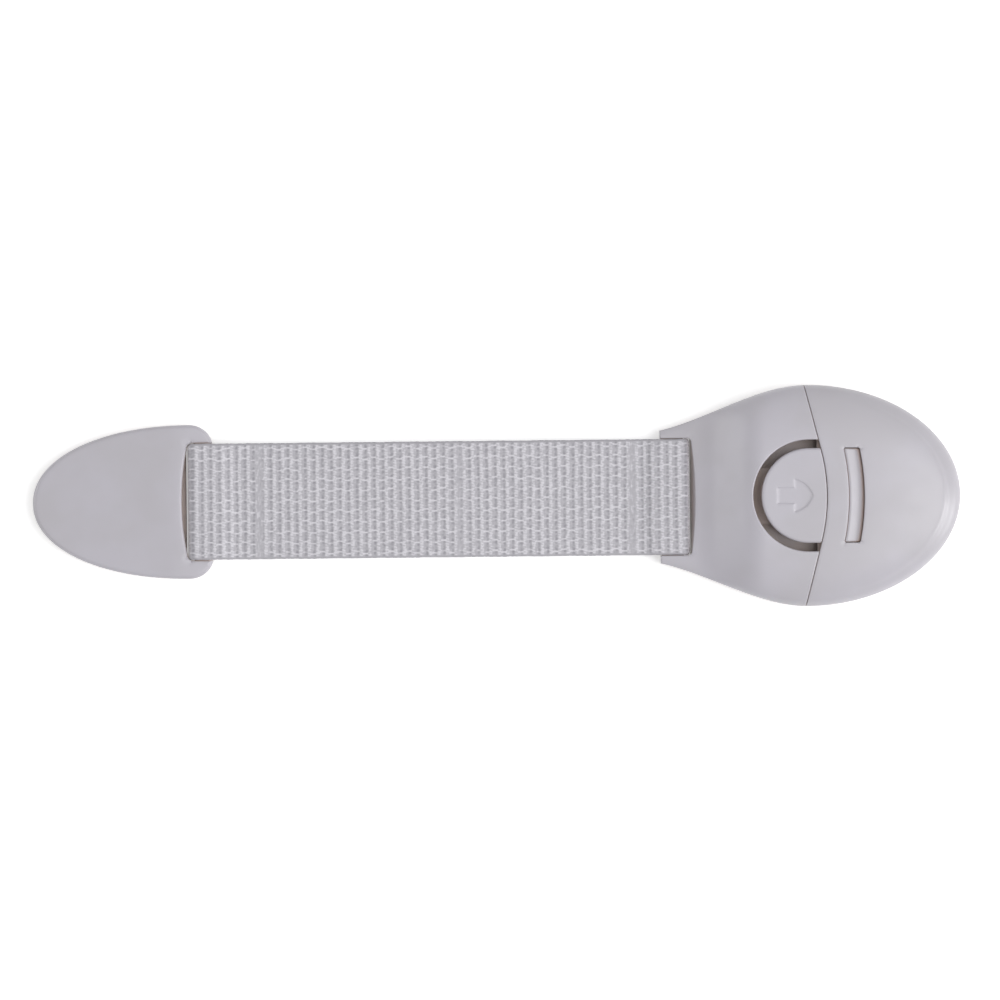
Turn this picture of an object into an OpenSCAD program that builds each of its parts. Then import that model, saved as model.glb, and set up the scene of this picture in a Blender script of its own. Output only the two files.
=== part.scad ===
// Stick-on strap lock for a cabinet door. A leaf-shaped anchor pad and an oval head
// are joined by a loop of webbing. The head is split along a curved seam: its nose is
// stuck to the furniture, its other half carries the strap and pulls out of the nose
// when the round button is pressed.
// Millimetres, +Z away from the furniture, +X towards the nose. The origin is on the
// furniture's face, in the middle of the whole lock.

/* [Strap] */
// Width of the webbing
web_w = 25; // [20:0.5:30]
// Thickness of one layer of webbing
web_t = 1.2; // [0.9:0.05:1.5]
// Length of strap in sight between the pad and the neck
strap_free = 96.5; // [70:0.5:180]
// Space between the strap and the furniture
strap_lift = 1.25; // [1:0.05:2.5]
// Clearance between the webbing and the bar that it goes round
web_gap = 0.15; // [0.1:0.05:0.3]
// Clearance between the webbing's edges and the plastic beside them
web_side_gap = 0.3; // [0.2:0.05:0.6]
// Distance from the pad's edge to the first bend of the strap
pad_bend_d = 5.7; // [5:0.1:8]
// Distance from the neck's edge to the last bend of the strap
neck_bend_d = 3.7; // [3.4:0.1:6]
// Distance from the pad's edge to the first cross weld
pad_weld_d = 10; // [9:0.5:12]
// Distance from the pad's edge to the cross weld in the middle
mid_weld_d = 53.1; // [45:0.1:60]
// Distance from the neck's edge to the last cross weld
neck_weld_d = 6; // [6:0.5:9]
// Width of a cross weld
weld_w = 1.5; // [1:0.1:2.5]
// Depth that a cross weld sinks into each face
weld_depth = 0.25; // [0.1:0.05:0.4]
// Height of the slit in sight between the two layers at their edges
layer_slit_h = 0.2; // [0.1:0.05:0.3]
// Depth of that slit
layer_slit_d = 2.5; // [1:0.5:4]
// Radial clearance of a bend's round end
knuckle_gap = 0.05; // [0.03:0.01:0.1]

/* [Anchor pad] */
// Length of the pad
pad_len = 38.9; // [34:0.1:60]
// Width of the pad
pad_w = 33.2; // [32:0.1:45]
// Thickness of the pad's plate
pad_t = 3.6; // [3.2:0.1:5]
// Radius of the two corners beside the strap
pad_corner_r = 5; // [3:0.5:7]
// Radius of the rounded upper edge
pad_edge_r = 0.9; // [0.4:0.1:1.2]
// Length of the surface that slopes towards the strap
pad_slope_len = 8; // [6:0.5:12]
// Drop of that slope
pad_slope_drop = 0.5; // [0.2:0.1:0.8]
// Width of the bar that the strap goes round
pad_bar_w = 4.1; // [3:0.1:6]
// Space in sight beside the strap in the middle of the pad's slot
pad_slot_gap = 1.3; // [0.8:0.1:2]
// Radius of the slot's curved wall
pad_slot_r = 54; // [40:1:80]
// Distance from the tape to the pad's outline
pad_tape_inset = 1.6; // [1:0.1:3]

/* [Neck and strap bar] */
// Width of the neck at its square end
neck_w = 28.7; // [28.5:0.1:34]
// Height of the neck's shoulder edges below its top
neck_roll = 0.9; // [0.4:0.1:1.4]
// Depth of the strap's top face below the neck's top
strap_sink = 0.15; // [0.1:0.05:0.5]
// Width of the bar that the strap goes round
neck_bar_w = 5; // [3.5:0.1:6]
// Thickness of both strap bars
bar_t = 1.4; // [1.2:0.1:1.8]
// Distance from each bar to the end of the plastic
bar_inset = 0.2; // [0.1:0.05:0.4]
// Space in sight beside the strap in the middle of the neck's slot
neck_slot_gap = 1.2; // [0.8:0.1:2]
// Radius of the slot's curved wall
neck_slot_r = 88; // [60:1:120]
// Thickness of the wall between the slot and the hollow of the head
slot_wall_t = 1.5; // [1:0.1:2]

/* [Head] */
// Width of the oval
head_w = 47.7; // [46:0.1:60]
// Length from the neck's end to the widest place
flare_len = 31.55; // [30:0.05:40]
// Length from the widest place to the tip
nose_len = 33.1; // [32:0.1:42]
// Height of the dome above the furniture
dome_z = 12.2; // [12:0.1:14]
// Height of the rim where the dome rolls over into the side wall
rim_z = 6.2; // [5.5:0.1:7]
// Distance from the neck's end to where the surface starts to rise
rise_start = 7.15; // [7:0.05:9]
// Length of the rise from the neck to the dome
rise_len = 15.5; // [12:0.5:17]
// Thickness of the shell's roof
roof_t = 1.7; // [1.4:0.1:1.9]
// Thickness of the shell's side walls
wall_t = 1.7; // [1.2:0.1:2]
// Height of the side walls' lower edge above the tape
skirt_gap = 0.3; // [0.2:0.1:0.6]
// Distance from the widest place to the middle of the seam
seam_mid = 4.3; // [3.5:0.1:5]
// Radius of the seam's middle part
seam_r = 40; // [30:1:60]
// Angle that the seam's ends lean back
seam_lean = 14; // [10:0.5:16]
// Width of the seam
seam_gap = 0.25; // [0.15:0.05:0.4]

/* [Button and catch] */
// Radius of the button
button_r = 10.2; // [9.5:0.1:10.4]
// Width of the ring-shaped gap round the button
button_ring = 1.8; // [1.2:0.1:2]
// Distance from the widest place to the middle of the button
button_mid = 0.3; // [0:0.1:1]
// Gap between the button and the nose
button_gap = 0.45; // [0.4:0.05:0.6]
// Depth of the button's top below the shell's surface
button_sink = 0.05; // [0:0.05:0.2]
// Wall thickness of the button
button_wall = 1.5; // [1:0.1:1.8]
// Height of the button's lower edge above the furniture
button_low_z = 6.6; // [6.2:0.1:6.8]
// Thickness of the tongue's arm and of its plate
tongue_t = 1.4; // [1.2:0.1:1.6]
// Width of the tongue's arm
arm_w = 12; // [8:0.5:13]
// Distance from the neck's end to the arm's root
root_d = 15.85; // [15.8:0.05:16.2]
// Wall of the socket that holds the root
socket_wall = 0.8; // [0.6:0.1:0.9]
// Height of the arm's root above the furniture
root_z = 5.6; // [5.55:0.05:5.7]
// Clearance of the arm's round root in its socket
root_gap = 0.05; // [0.03:0.01:0.1]
// Height of the top of the plate that goes under the nose
plate_top_z = 9.4; // [9:0.1:9.5]
// Width of that plate
plate_w = 24.6; // [22:0.1:24.8]
// Length of the plate from the middle of the seam to its tip
plate_len = 11.1; // [10.8:0.1:11.6]
// Radius of the plate's front corners
plate_corner_r = 4; // [3:0.5:6]
// Length of the plate's shoulders in sight beside the button
plate_shoulder = 2.2; // [1:0.1:3]
// Distance from the seam to the slot in the nose
slot_d = 4.55; // [4:0.05:5]
// Width of that slot
slot_w = 3.4; // [3:0.1:4]
// Length of that slot
slot_len = 20.4; // [16:0.1:21]
// Radius of the slot's curved walls
slot_r = 48; // [36:1:70]
// Gap between the catch ridge and the slot's ends
ridge_end_gap = 0.3; // [0.2:0.05:0.6]
// Gap between the catch ridge and the wall that holds it
ridge_gap = 0.15; // [0.1:0.05:0.3]
// Width of the ridge's flat top
ridge_top_w = 1; // [0.6:0.1:1.4]
// Length of the ridge's ramp
ridge_ramp = 1.3; // [0.8:0.1:1.5]
// Depth of the ridge's top below the dome's top
ridge_sink = 0.6; // [0.5:0.1:0.8]

/* [Floors and tape] */
// Thickness of the floor that is stuck to the furniture
base_t = 1.8; // [1.5:0.1:2.2]
// Length of that floor to the left of the widest place
base_back_len = 20.3; // [18:0.1:20.5]
// Clearance between a floor and the shell round it
floor_gap = 0.15; // [0.1:0.05:0.3]
// Clearance between the latch's floor and the floor under it
run_gap = 0.3; // [0.2:0.05:0.4]
// Thickness of the latch's floor
latch_floor_t = 1.4; // [1.2:0.1:1.5]
// Distance from the neck's end to the latch's floor
latch_floor_d = 12.65; // [12.6:0.05:13]
// Extra radius of the opening in the latch's floor under the button
floor_hole_extra = 1; // [0.5:0.1:1.5]
// Thickness of the guide walls beside the catch
guide_t = 1.4; // [1:0.1:1.8]
// Clearance between the guide walls and the tongue's plate
guide_gap = 0.3; // [0.2:0.05:0.5]
// Clearance between the tongue's tip and the stop wall
stop_gap = 1.2; // [0.8:0.1:1.6]
// Distance from the seam to the guide walls
guide_d = 1.3; // [1:0.1:3]
// Height of the guide walls above the furniture
guide_z = 8.3; // [7:0.1:8.5]
// Thickness of the foam tape
tape_t = 1; // [0.8:0.1:1.2]
// Thickness of the peel-off liner
liner_t = 0.12; // [0.08:0.02:0.2]
// Distance from the tape to the floor's outline
base_tape_inset = 1; // [0.5:0.1:3]

/* [Pins and bosses] */
// Radius of the pins that hold the nose on its floor
nose_pin_r = 1.5; // [1.2:0.1:1.6]
// Distance from the widest place to those pins
nose_pin_d = 21.6; // [21:0.1:22]
// Distance of those pins from the side of the head
nose_pin_side = 8.57; // [8.2:0.01:9.6]
// Radius of the pins that hold the latch's cover on its floor
latch_pin_r = 1.1; // [0.9:0.1:1.2]
// Distance of the front pins behind the widest place
front_pin_d = 2.4; // [2:0.1:3]
// Distance of the front pins from the side of the head
front_pin_side = 5.73; // [5.5:0.01:6.2]
// Distance of the rear pins behind the widest place
rear_pin_d = 11.4; // [11:0.1:11.8]
// Distance of the rear pins from the side of the head
rear_pin_side = 7.12; // [6.7:0.01:7.6]
// Wall of a boss round its pin
boss_wall = 1.2; // [1:0.1:1.4]
// Radial clearance of a pin in its boss
pin_gap = 0.05; // [0.02:0.01:0.1]
// Length of a pin above its floor
pin_len = 2.6; // [2:0.1:2.8]

/* [Hidden] */

// Overrun of a cut past the face that it goes through
over = 0.5;
// Steps of a curved surface along and across, and of an outline
skin_rows = 22;
skin_cols = 28;
outline_n = 48;
bend_count = 9;
section_count = bend_count - 1;

// Places along the lock, from the tip back to the pad's end
total_len = pad_len + strap_free + flare_len + nose_len;
tip_x = total_len / 2;
widest_x = tip_x - nose_len;
neck_x = widest_x - flare_len;
pad_right_x = neck_x - strap_free;
pad_left_x = pad_right_x - pad_len;
seam_x = widest_x + seam_mid;
button_x = widest_x + button_mid;
button_hole_r = button_r + button_ring;
slot_x = seam_x + slot_d;
neck_bar_x = neck_x + neck_bar_w;
neck_slot_x = neck_bar_x + web_gap + web_t + neck_slot_gap;
pad_bar_x = pad_right_x - pad_bar_w;
pad_slot_x = pad_bar_x - web_gap - web_t - pad_slot_gap;
root_x = neck_x + root_d;
nose_pin_x = widest_x + nose_pin_d;
front_pin_x = widest_x - front_pin_d;
rear_pin_x = widest_x - rear_pin_d;

// Heights
tape_z = liner_t + tape_t;
base_z = tape_z + base_t;
skirt_z = tape_z + skirt_gap;
strap_z = strap_lift + web_t + web_gap + bar_t / 2;
neck_z = strap_z + bar_t / 2 + web_gap + web_t + strap_sink;
neck_rim_z = neck_z - neck_roll;
pad_top_z = tape_z + pad_t;
latch_floor_z = base_z + run_gap;
latch_floor_top = latch_floor_z + latch_floor_t;
inner_dome_z = dome_z - roof_t;

// The strap's bends, from the pad to the head
pad_bend_x = pad_right_x + pad_bend_d;
neck_bend_x = neck_x - neck_bend_d;
function bend_x(i) = pad_bend_x + (neck_bend_x - pad_bend_x) * i / section_count;
weld_xs = [pad_right_x + pad_weld_d, pad_right_x + mid_weld_d, neck_x - neck_weld_d];
strap_w_gap = web_w + 2 * web_side_gap;

// Shares of the head's forms: how bluntly the dome rolls over, how steeply the neck
// flares at its start, and how full the pad's outline is
roll_share = 3;
flare_share = 0.75;
leaf_share = 2.1;

plastic_colour = [0.74, 0.73, 0.76];
webbing_colour = [0.86, 0.86, 0.88];
foam_colour = [0.93, 0.93, 0.9];
liner_colour = [0.55, 0.7, 0.6];

// Forms of the head

function clamp01(u) = min(max(u, 0), 1);
function smooth(u) = let (v = clamp01(u)) v * v * (3 - 2 * v);
function flare(u) = let (v = clamp01(u))
  v * v * (3 - 2 * v) + flare_share * v * (1 - v) * (1 - v);

// Half the head's width at x: the flare up to the widest place, then a half ellipse
function half_w(x, inset = 0) = x < widest_x
  ? neck_w / 2 + (head_w - neck_w) / 2 * flare((x - neck_x) / flare_len) - inset
  : (head_w / 2 - inset)
    * sqrt(max(0, 1 - pow((x - widest_x) / (nose_len - inset), 2)));

// 0 on the middle line, 1 on the outline
function out_share(x, y, inset = 0) = x < widest_x
  ? abs(y) / half_w(x, inset)
  : norm([y / (head_w / 2 - inset), (x - widest_x) / (nose_len - inset)]);

// Distance from the middle line of a pin that stands side from the outline at x
function pin_y(x, side) = half_w(x) - side;

// Height of the outer skin, or of the inner one when it is inset by the wall
function skin_z(x, y, inset = 0) =
  let (
    s = smooth((x - neck_x - rise_start) / rise_len),
    top = neck_z + (dome_z - neck_z) * s,
    rim = neck_rim_z + (rim_z - neck_rim_z) * s,
    r = min(out_share(x, y, inset), 1)
  )
  rim + (top - rim) * pow(1 - pow(r, roll_share), 1 / roll_share)
  - (inset > 0 ? roof_t : 0);

// The seam bulges towards the nose: an arc in the middle, straight towards its ends
function seam_at(y) =
  let (a = abs(y), b = seam_r * sin(seam_lean))
  seam_x - (a < b
    ? seam_r - sqrt(seam_r * seam_r - a * a)
    : seam_r * (1 - cos(seam_lean)) + (a - b) * tan(seam_lean));

// A solid under a curved skin. top is a grid of points, low the height of its floor.
module skin_solid(top, low) {
  rows = len(top);
  cols = len(top[0]);
  n = rows * cols;
  points = [
    for (r = top) each r,
    for (r = top) for (p = r) [p.x, p.y, low]
  ];
  at = function (i, j) i * cols + j;
  faces = [
    for (i = [0:rows - 2]) for (j = [0:cols - 2])
      each [
        [at(i, j), at(i, j + 1), at(i + 1, j + 1)],
        [at(i, j), at(i + 1, j + 1), at(i + 1, j)],
        [n + at(i, j), n + at(i + 1, j + 1), n + at(i, j + 1)],
        [n + at(i, j), n + at(i + 1, j), n + at(i + 1, j + 1)]
      ],
    for (i = [0:rows - 2])
      each [
        [at(i, 0), at(i + 1, 0), n + at(i + 1, 0)],
        [at(i, 0), n + at(i + 1, 0), n + at(i, 0)],
        [at(i, cols - 1), n + at(i + 1, cols - 1), at(i + 1, cols - 1)],
        [at(i, cols - 1), n + at(i, cols - 1), n + at(i + 1, cols - 1)]
      ],
    for (j = [0:cols - 2])
      each [
        [at(0, j), n + at(0, j), n + at(0, j + 1)],
        [at(0, j), n + at(0, j + 1), at(0, j + 1)],
        [at(rows - 1, j), n + at(rows - 1, j + 1), n + at(rows - 1, j)],
        [at(rows - 1, j), at(rows - 1, j + 1), n + at(rows - 1, j + 1)]
      ]
  ];
  polyhedron(points, faces, convexity = 6);
}

// Where a column of the skin lies across the head, from -1 to 1
function across(j) = sin(90 * (2 * j / skin_cols - 1));

// The latch half of the head from x0 to the seam, moved on by past
function latch_skin(x0, past, inset) = [
  for (i = [0:skin_rows]) [
    for (j = [0:skin_cols])
      let (
        t = across(j),
        end = seam_at(t * half_w(widest_x, inset)) + past,
        x = x0 + (end - x0) * i / skin_rows,
        y = t * half_w(x, inset)
      )
      [x, y, skin_z(x, y, inset)]
  ]
];

// The nose half of the head from the seam, moved by past, to the tip
function nose_skin(past, inset) = [
  for (i = [0:skin_rows]) [
    for (j = [0:skin_cols])
      let (
        t = across(j),
        ys = t * half_w(widest_x, inset),
        x0 = seam_at(ys) + past,
        x1 = widest_x + (nose_len - inset) * sqrt(max(0, 1 - t * t)),
        x = x0 + (x1 - x0) * sin(90 * i / skin_rows),
        y = sign(t) * min(abs(ys), half_w(x, inset))
      )
      [x, y, skin_z(x, y, inset)]
  ]
];

// A rectangle of the skin, lowered by drop
function skin_patch(x0, x1, half, drop, rows, cols) = [
  for (i = [0:rows]) [
    for (j = [0:cols])
      let (x = x0 + (x1 - x0) * i / rows, y = half * (2 * j / cols - 1))
      [x, y, skin_z(x, y) - drop]
  ]
];

// An oval about the widest place: one half ellipse in front, another behind
module oval(front, back, half) {
  polygon([
    for (i = [0:2 * outline_n - 1])
      let (a = 180 * i / outline_n, c = cos(a))
      [widest_x + (c > 0 ? front : back) * c, half * sin(a)]
  ]);
}

// The button's outline, or the hole's: round behind, straight towards the seam
module button_shape(r) {
  translate([button_x, 0]) circle(r, $fn = 96);
  translate([button_x, -r]) square([seam_x - button_x + over, 2 * r]);
}

// What lies behind the middle arc of the seam, less a gap
module behind_seam(gap) {
  translate([seam_x - seam_r, 0]) circle(seam_r - gap, $fn = 240);
}

// Two pins or bosses, one on each side of the middle line
module pair(x, y) {
  for (s = [-1, 1]) translate([x, s * y, 0]) children();
}

// Height inside the roof to which a boss rises at its outermost point
function boss_top(x, y, r) =
  let (d = norm([x - widest_x, y]))
  skin_z(x + r * (x - widest_x) / d, y + r * y / d) - roof_t * 0.3;

module boss_pair(x, y, r, low) {
  outer = r + pin_gap + boss_wall;
  pair(x, y) difference() {
    translate([0, 0, low]) cylinder(r = outer, h = boss_top(x, y, outer) - low, $fn = 48);
    translate([0, 0, low - over])
      cylinder(r = r + pin_gap, h = pin_len + 2 * over, $fn = 48);
  }
}

module pin_pair(x, y, r, low) {
  pair(x, y) translate([0, 0, low]) cylinder(r = r, h = pin_len + over, $fn = 48);
}

// A flat bar along Y with rounded edges
module strap_bar(x0, w, length) {
  for (x = [x0 + bar_t / 2, x0 + w - bar_t / 2])
    translate([x, 0, strap_z]) rotate([90, 0, 0])
      cylinder(d = bar_t, h = length, center = true, $fn = 48);
  translate([x0 + bar_t / 2, -length / 2, strap_z - bar_t / 2])
    cube([w - bar_t, length, bar_t]);
}

// Head, the half that is stuck to the furniture

module nose_cover() {
  front_w = slot_r + slot_w;
  color(plastic_colour) {
    difference() {
      skin_solid(nose_skin(0, 0), skirt_z);
      skin_solid(nose_skin(-over, wall_t), skirt_z - over);
      translate([slot_x - slot_r, 0, base_z]) linear_extrude(dome_z) intersection() {
        difference() {
          circle(front_w, $fn = 240);
          circle(slot_r, $fn = 240);
        }
        translate([0, -slot_len / 2]) square([front_w, slot_len]);
      }
    }
    boss_pair(nose_pin_x, pin_y(nose_pin_x, nose_pin_side), nose_pin_r,
      base_z + floor_gap);
  }
}

module base_plate() {
  inset = wall_t + floor_gap;
  stop_x = seam_x + plate_len + stop_gap;
  inner = plate_w / 2 + guide_gap;
  color(plastic_colour) {
    translate([0, 0, tape_z]) linear_extrude(base_t)
      oval(nose_len - inset, base_back_len, head_w / 2 - inset);
    translate([0, 0, base_z - over]) linear_extrude(guide_z - base_z + over) {
      for (y = [inner, -inner - guide_t])
        translate([seam_x + guide_d, y])
          square([stop_x + guide_t - seam_x - guide_d, guide_t]);
      translate([stop_x, -inner - over]) square([guide_t, 2 * (inner + over)]);
    }
    pin_pair(nose_pin_x, pin_y(nose_pin_x, nose_pin_side), nose_pin_r, base_z - over);
  }
}

module base_pad(low, h) {
  inset = wall_t + floor_gap + base_tape_inset;
  translate([0, 0, low]) linear_extrude(h)
    oval(nose_len - inset, base_back_len - base_tape_inset, head_w / 2 - inset);
}

module base_foam_tape() {
  color(foam_colour) base_pad(liner_t, tape_t);
}

module base_tape_liner() {
  color(liner_colour) base_pad(0, liner_t);
}

// Head, the half that carries the strap

module latch_cover() {
  color(plastic_colour) {
    difference() {
      skin_solid(latch_skin(neck_x, -seam_gap, 0), skirt_z);
      skin_solid(latch_skin(neck_slot_x + slot_wall_t, over, wall_t), skirt_z - over);
      translate([0, 0, skirt_z]) linear_extrude(dome_z) button_shape(button_hole_r);
      translate([0, 0, skirt_z - over]) linear_extrude(dome_z) intersection() {
        translate([neck_x - over, -strap_w_gap / 2])
          square([neck_slot_x - neck_x + 2 * over, strap_w_gap]);
        translate([neck_slot_x - neck_slot_r, 0]) circle(neck_slot_r, $fn = 360);
      }
    }
    strap_bar(neck_x + bar_inset, neck_bar_w - bar_inset, strap_w_gap + 2 * over);
    boss_pair(front_pin_x, pin_y(front_pin_x, front_pin_side), latch_pin_r,
      latch_floor_top + floor_gap);
    boss_pair(rear_pin_x, pin_y(rear_pin_x, rear_pin_side), latch_pin_r,
      latch_floor_top + floor_gap);
  }
}

module latch_plate() {
  x0 = neck_x + latch_floor_d;
  inset = wall_t + floor_gap;
  half = half_w(widest_x) - inset;
  socket_r = tongue_t / 2 + root_gap + socket_wall;
  side = [
    for (i = [0:outline_n / 2])
      let (x = x0 + (seam_at(half) - seam_gap - x0) * i * 2 / outline_n)
      [x, half_w(x) - inset]
  ];
  front = [
    for (i = [1:outline_n - 1])
      let (y = half * (1 - 2 * i / outline_n))
      [seam_at(y) - seam_gap, y]
  ];
  color(plastic_colour) {
    difference() {
      translate([0, 0, latch_floor_z]) linear_extrude(latch_floor_t) difference() {
        polygon(concat(side, front,
          [for (i = [outline_n / 2:-1:0]) [side[i].x, -side[i].y]]));
        button_shape(button_hole_r + floor_hole_extra);
      }
    }
    difference() {
      translate([root_x, 0, root_z]) rotate([90, 0, 0])
        cylinder(r = socket_r, h = arm_w, center = true, $fn = 64);
      translate([root_x, 0, root_z]) rotate([90, 0, 0])
        cylinder(r = tongue_t / 2 + root_gap, h = arm_w + 2 * over, center = true,
          $fn = 64);
      translate([root_x, -arm_w / 2 - over, root_z - socket_r - over])
        cube([socket_r + over, arm_w + 2 * over, 2 * (socket_r + over)]);
    }
    translate([root_x - socket_r, -arm_w / 2, latch_floor_top - over])
      cube([socket_wall, arm_w, root_z - latch_floor_top + over]);
    pin_pair(front_pin_x, pin_y(front_pin_x, front_pin_side), latch_pin_r,
      latch_floor_top - over);
    pin_pair(rear_pin_x, pin_y(rear_pin_x, rear_pin_side), latch_pin_r,
      latch_floor_top - over);
  }
}

// The tongue's plate: square behind, with rounded corners at its tip
module plate_shape() {
  x0 = seam_x - plate_shoulder;
  x1 = seam_x + plate_len;
  half = plate_w / 2;
  translate([x0, -half]) square([x1 - x0 - plate_corner_r, plate_w]);
  translate([x0, -half + plate_corner_r])
    square([x1 - x0, plate_w - 2 * plate_corner_r]);
  for (s = [-1, 1])
    translate([x1 - plate_corner_r, s * (half - plate_corner_r)])
      circle(plate_corner_r, $fn = 64);
}

module release_tongue() {
  arm_end = button_x - button_r + button_wall / 2;
  arm_rise = button_low_z + tongue_t / 2 - root_z;
  arm_angle = atan2(arm_rise, arm_end - root_x);
  arm_reach = norm([arm_rise, arm_end - root_x]) + 2 * button_wall;
  ridge_r = slot_r + ridge_gap;
  ridge_far_r = ridge_r + ridge_top_w + ridge_ramp;
  ridge_angle = asin((slot_len / 2 - ridge_end_gap) / ridge_far_r);
  ridge_top = dome_z - ridge_sink;
  color(plastic_colour) {
    difference() {
      union() {
        intersection() {
          translate([0, 0, button_low_z]) linear_extrude(dome_z) intersection() {
            button_shape(button_r);
            behind_seam(button_gap);
          }
          skin_solid(
            skin_patch(button_x - button_r - over, seam_x + over, button_r + over,
              button_sink, 12, 12),
            button_low_z);
        }
        translate([root_x, 0, root_z]) {
          rotate([0, -arm_angle, 0]) translate([0, -arm_w / 2, -tongue_t / 2])
            cube([arm_reach, arm_w, tongue_t]);
          rotate([90, 0, 0]) cylinder(d = tongue_t, h = arm_w, center = true, $fn = 64);
        }
      }
      translate([0, 0, button_low_z - over])
        linear_extrude(inner_dome_z - button_sink - button_low_z + over)
        intersection() {
          button_shape(button_r - button_wall);
          behind_seam(button_gap + button_wall);
        }
    }
    translate([0, 0, plate_top_z - tongue_t]) linear_extrude(tongue_t) plate_shape();
    translate([slot_x - slot_r, 0, 0]) rotate([0, 0, -ridge_angle])
      rotate_extrude(angle = 2 * ridge_angle, $fn = 360)
        polygon([
          [ridge_r, plate_top_z - tongue_t / 2],
          [ridge_r, ridge_top],
          [ridge_r + ridge_top_w, ridge_top],
          [ridge_far_r, plate_top_z],
          [ridge_far_r, plate_top_z - tongue_t / 2]
        ]);
  }
}

// Strap

// Half the distance between the middles of the loop's two layers, at d from the bend
function layer_half(d, reach) =
  web_t / 2 + (bar_t / 2 + web_gap) * smooth(d / reach);

// The loop's side, drawn about the strap's middle, with its bend at zero and its bar
// to the left. off moves the line out from the middle of the webbing.
function loop_side(reach, far, off) =
  let (round_r = bar_t / 2 + web_gap + web_t / 2 + off, n = outline_n / 4)
  concat(
    [
      for (i = [0:n])
        let (d = reach * i / n)
        [-d, layer_half(d, reach) + off]
    ],
    [
      for (i = [0:2 * n])
        let (a = 90 + 90 * i / n)
        [-far + round_r * cos(a), round_r * sin(a)]
    ],
    [
      for (i = [n:-1:0])
        let (d = reach * i / n)
        [-d, -layer_half(d, reach) - off]
    ]
  );

// A loop of webbing round a bar. reach is the length over which the layers part, far
// the distance from the bend to the middle of the bar's far rounding.
module web_loop(reach, far) {
  hole = [for (p = loop_side(reach, far, -web_t / 2)) if (abs(p.y) > web_gap / 2) p];
  rotate([90, 0, 0]) linear_extrude(web_w, center = true) difference() {
    polygon(loop_side(reach, far, web_t / 2));
    polygon(hole);
  }
}

module strap_pad_loop() {
  color(webbing_colour) translate([pad_bend_x, 0, strap_z]) {
    web_loop(pad_bend_d - web_t, pad_bend_d + pad_bar_w - bar_t / 2);
    rotate([90, 0, 0]) cylinder(r = web_t, h = web_w, center = true, $fn = 64);
  }
}

module strap_latch_loop() {
  color(webbing_colour) translate([neck_bend_x, 0, strap_z]) difference() {
    mirror([1, 0, 0]) web_loop(neck_bend_d - web_t / 2,
      neck_bend_d + neck_bar_w - bar_t / 2);
    rotate([90, 0, 0])
      cylinder(r = web_t + knuckle_gap, h = web_w + 2 * over, center = true, $fn = 64);
  }
}

// A section of the strap: both layers, hollow-ended on its left, round on its right
module strap_section(i) {
  x0 = bend_x(i);
  x1 = bend_x(i + 1);
  slit_y = web_w / 2 - layer_slit_d;
  color(webbing_colour) translate([0, 0, strap_z]) difference() {
    union() {
      translate([x0, -web_w / 2, -web_t]) cube([x1 - x0, web_w, 2 * web_t]);
      translate([x1, 0, 0]) rotate([90, 0, 0])
        cylinder(r = web_t, h = web_w, center = true, $fn = 64);
    }
    translate([x0, 0, 0]) rotate([90, 0, 0])
      cylinder(r = web_t + knuckle_gap, h = web_w + 2 * over, center = true, $fn = 64);
    for (y = [slit_y, -slit_y - layer_slit_d - over])
      translate([x0, y, -layer_slit_h / 2])
        cube([x1 - x0 + web_t + over, layer_slit_d + over, layer_slit_h]);
    for (w = weld_xs)
      if (w > x0 && w < x1)
        for (z = [web_t - weld_depth, -web_t - over])
          translate([w - weld_w / 2, -web_w / 2 - over, z])
            cube([weld_w, web_w + 2 * over, weld_depth + over]);
  }
}

module strap_section_1() strap_section(0);
module strap_section_2() strap_section(1);
module strap_section_3() strap_section(2);
module strap_section_4() strap_section(3);
module strap_section_5() strap_section(4);
module strap_section_6() strap_section(5);
module strap_section_7() strap_section(6);
module strap_section_8() strap_section(7);

// Anchor pad

// Point i of the pad's outline, drawn in by inset: a blunt leaf with two round corners
function pad_outline(inset) =
  let (
    corner_x = pad_right_x - pad_corner_r,
    half = pad_w / 2 - inset,
    leaf = corner_x - pad_left_x - inset,
    r = pad_corner_r - inset,
    q = 2 / leaf_share,
    n = outline_n / 4
  )
  concat(
    [
      for (i = [0:outline_n])
        let (a = 90 + 180 * i / outline_n, c = abs(cos(a)), s = abs(sin(a)))
        [corner_x - leaf * pow(c, q), sign(sin(a)) * half * pow(s, q)]
    ],
    [
      for (i = [1:n])
        let (a = -90 + 90 * i / n)
        [corner_x + r * cos(a), -half + r + r * sin(a)]
    ],
    [
      for (i = [0:n - 1])
        let (a = 90 * i / n)
        [corner_x + r * cos(a), half - r + r * sin(a)]
    ]
  );

// A plate whose upper edge is rounded: rings of the outline, each drawn in a little
module rounded_plate(low, high) {
  steps = 4;
  rings = concat(
    [[for (p = pad_outline(0)) [p.x, p.y, low]]],
    [
      for (k = [0:steps])
        let (a = 90 * k / steps)
        [
          for (p = pad_outline(pad_edge_r * (1 - cos(a))))
            [p.x, p.y, high - pad_edge_r * (1 - sin(a))]
        ]
    ]
  );
  n = len(rings[0]);
  m = len(rings);
  mid = [pad_right_x - pad_corner_r, 0];
  points = concat([for (r = rings) each r], [[mid.x, mid.y, low], [mid.x, mid.y, high]]);
  faces = [
    for (k = [0:m - 2]) for (i = [0:n - 1])
      let (a = k * n + i, b = k * n + (i + 1) % n)
      each [[a, a + n, b + n], [a, b + n, b]],
    for (i = [0:n - 1]) [i, (i + 1) % n, m * n],
    for (i = [0:n - 1]) [(m - 1) * n + (i + 1) % n, (m - 1) * n + i, m * n + 1]
  ];
  polyhedron(points, faces, convexity = 4);
}

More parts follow.
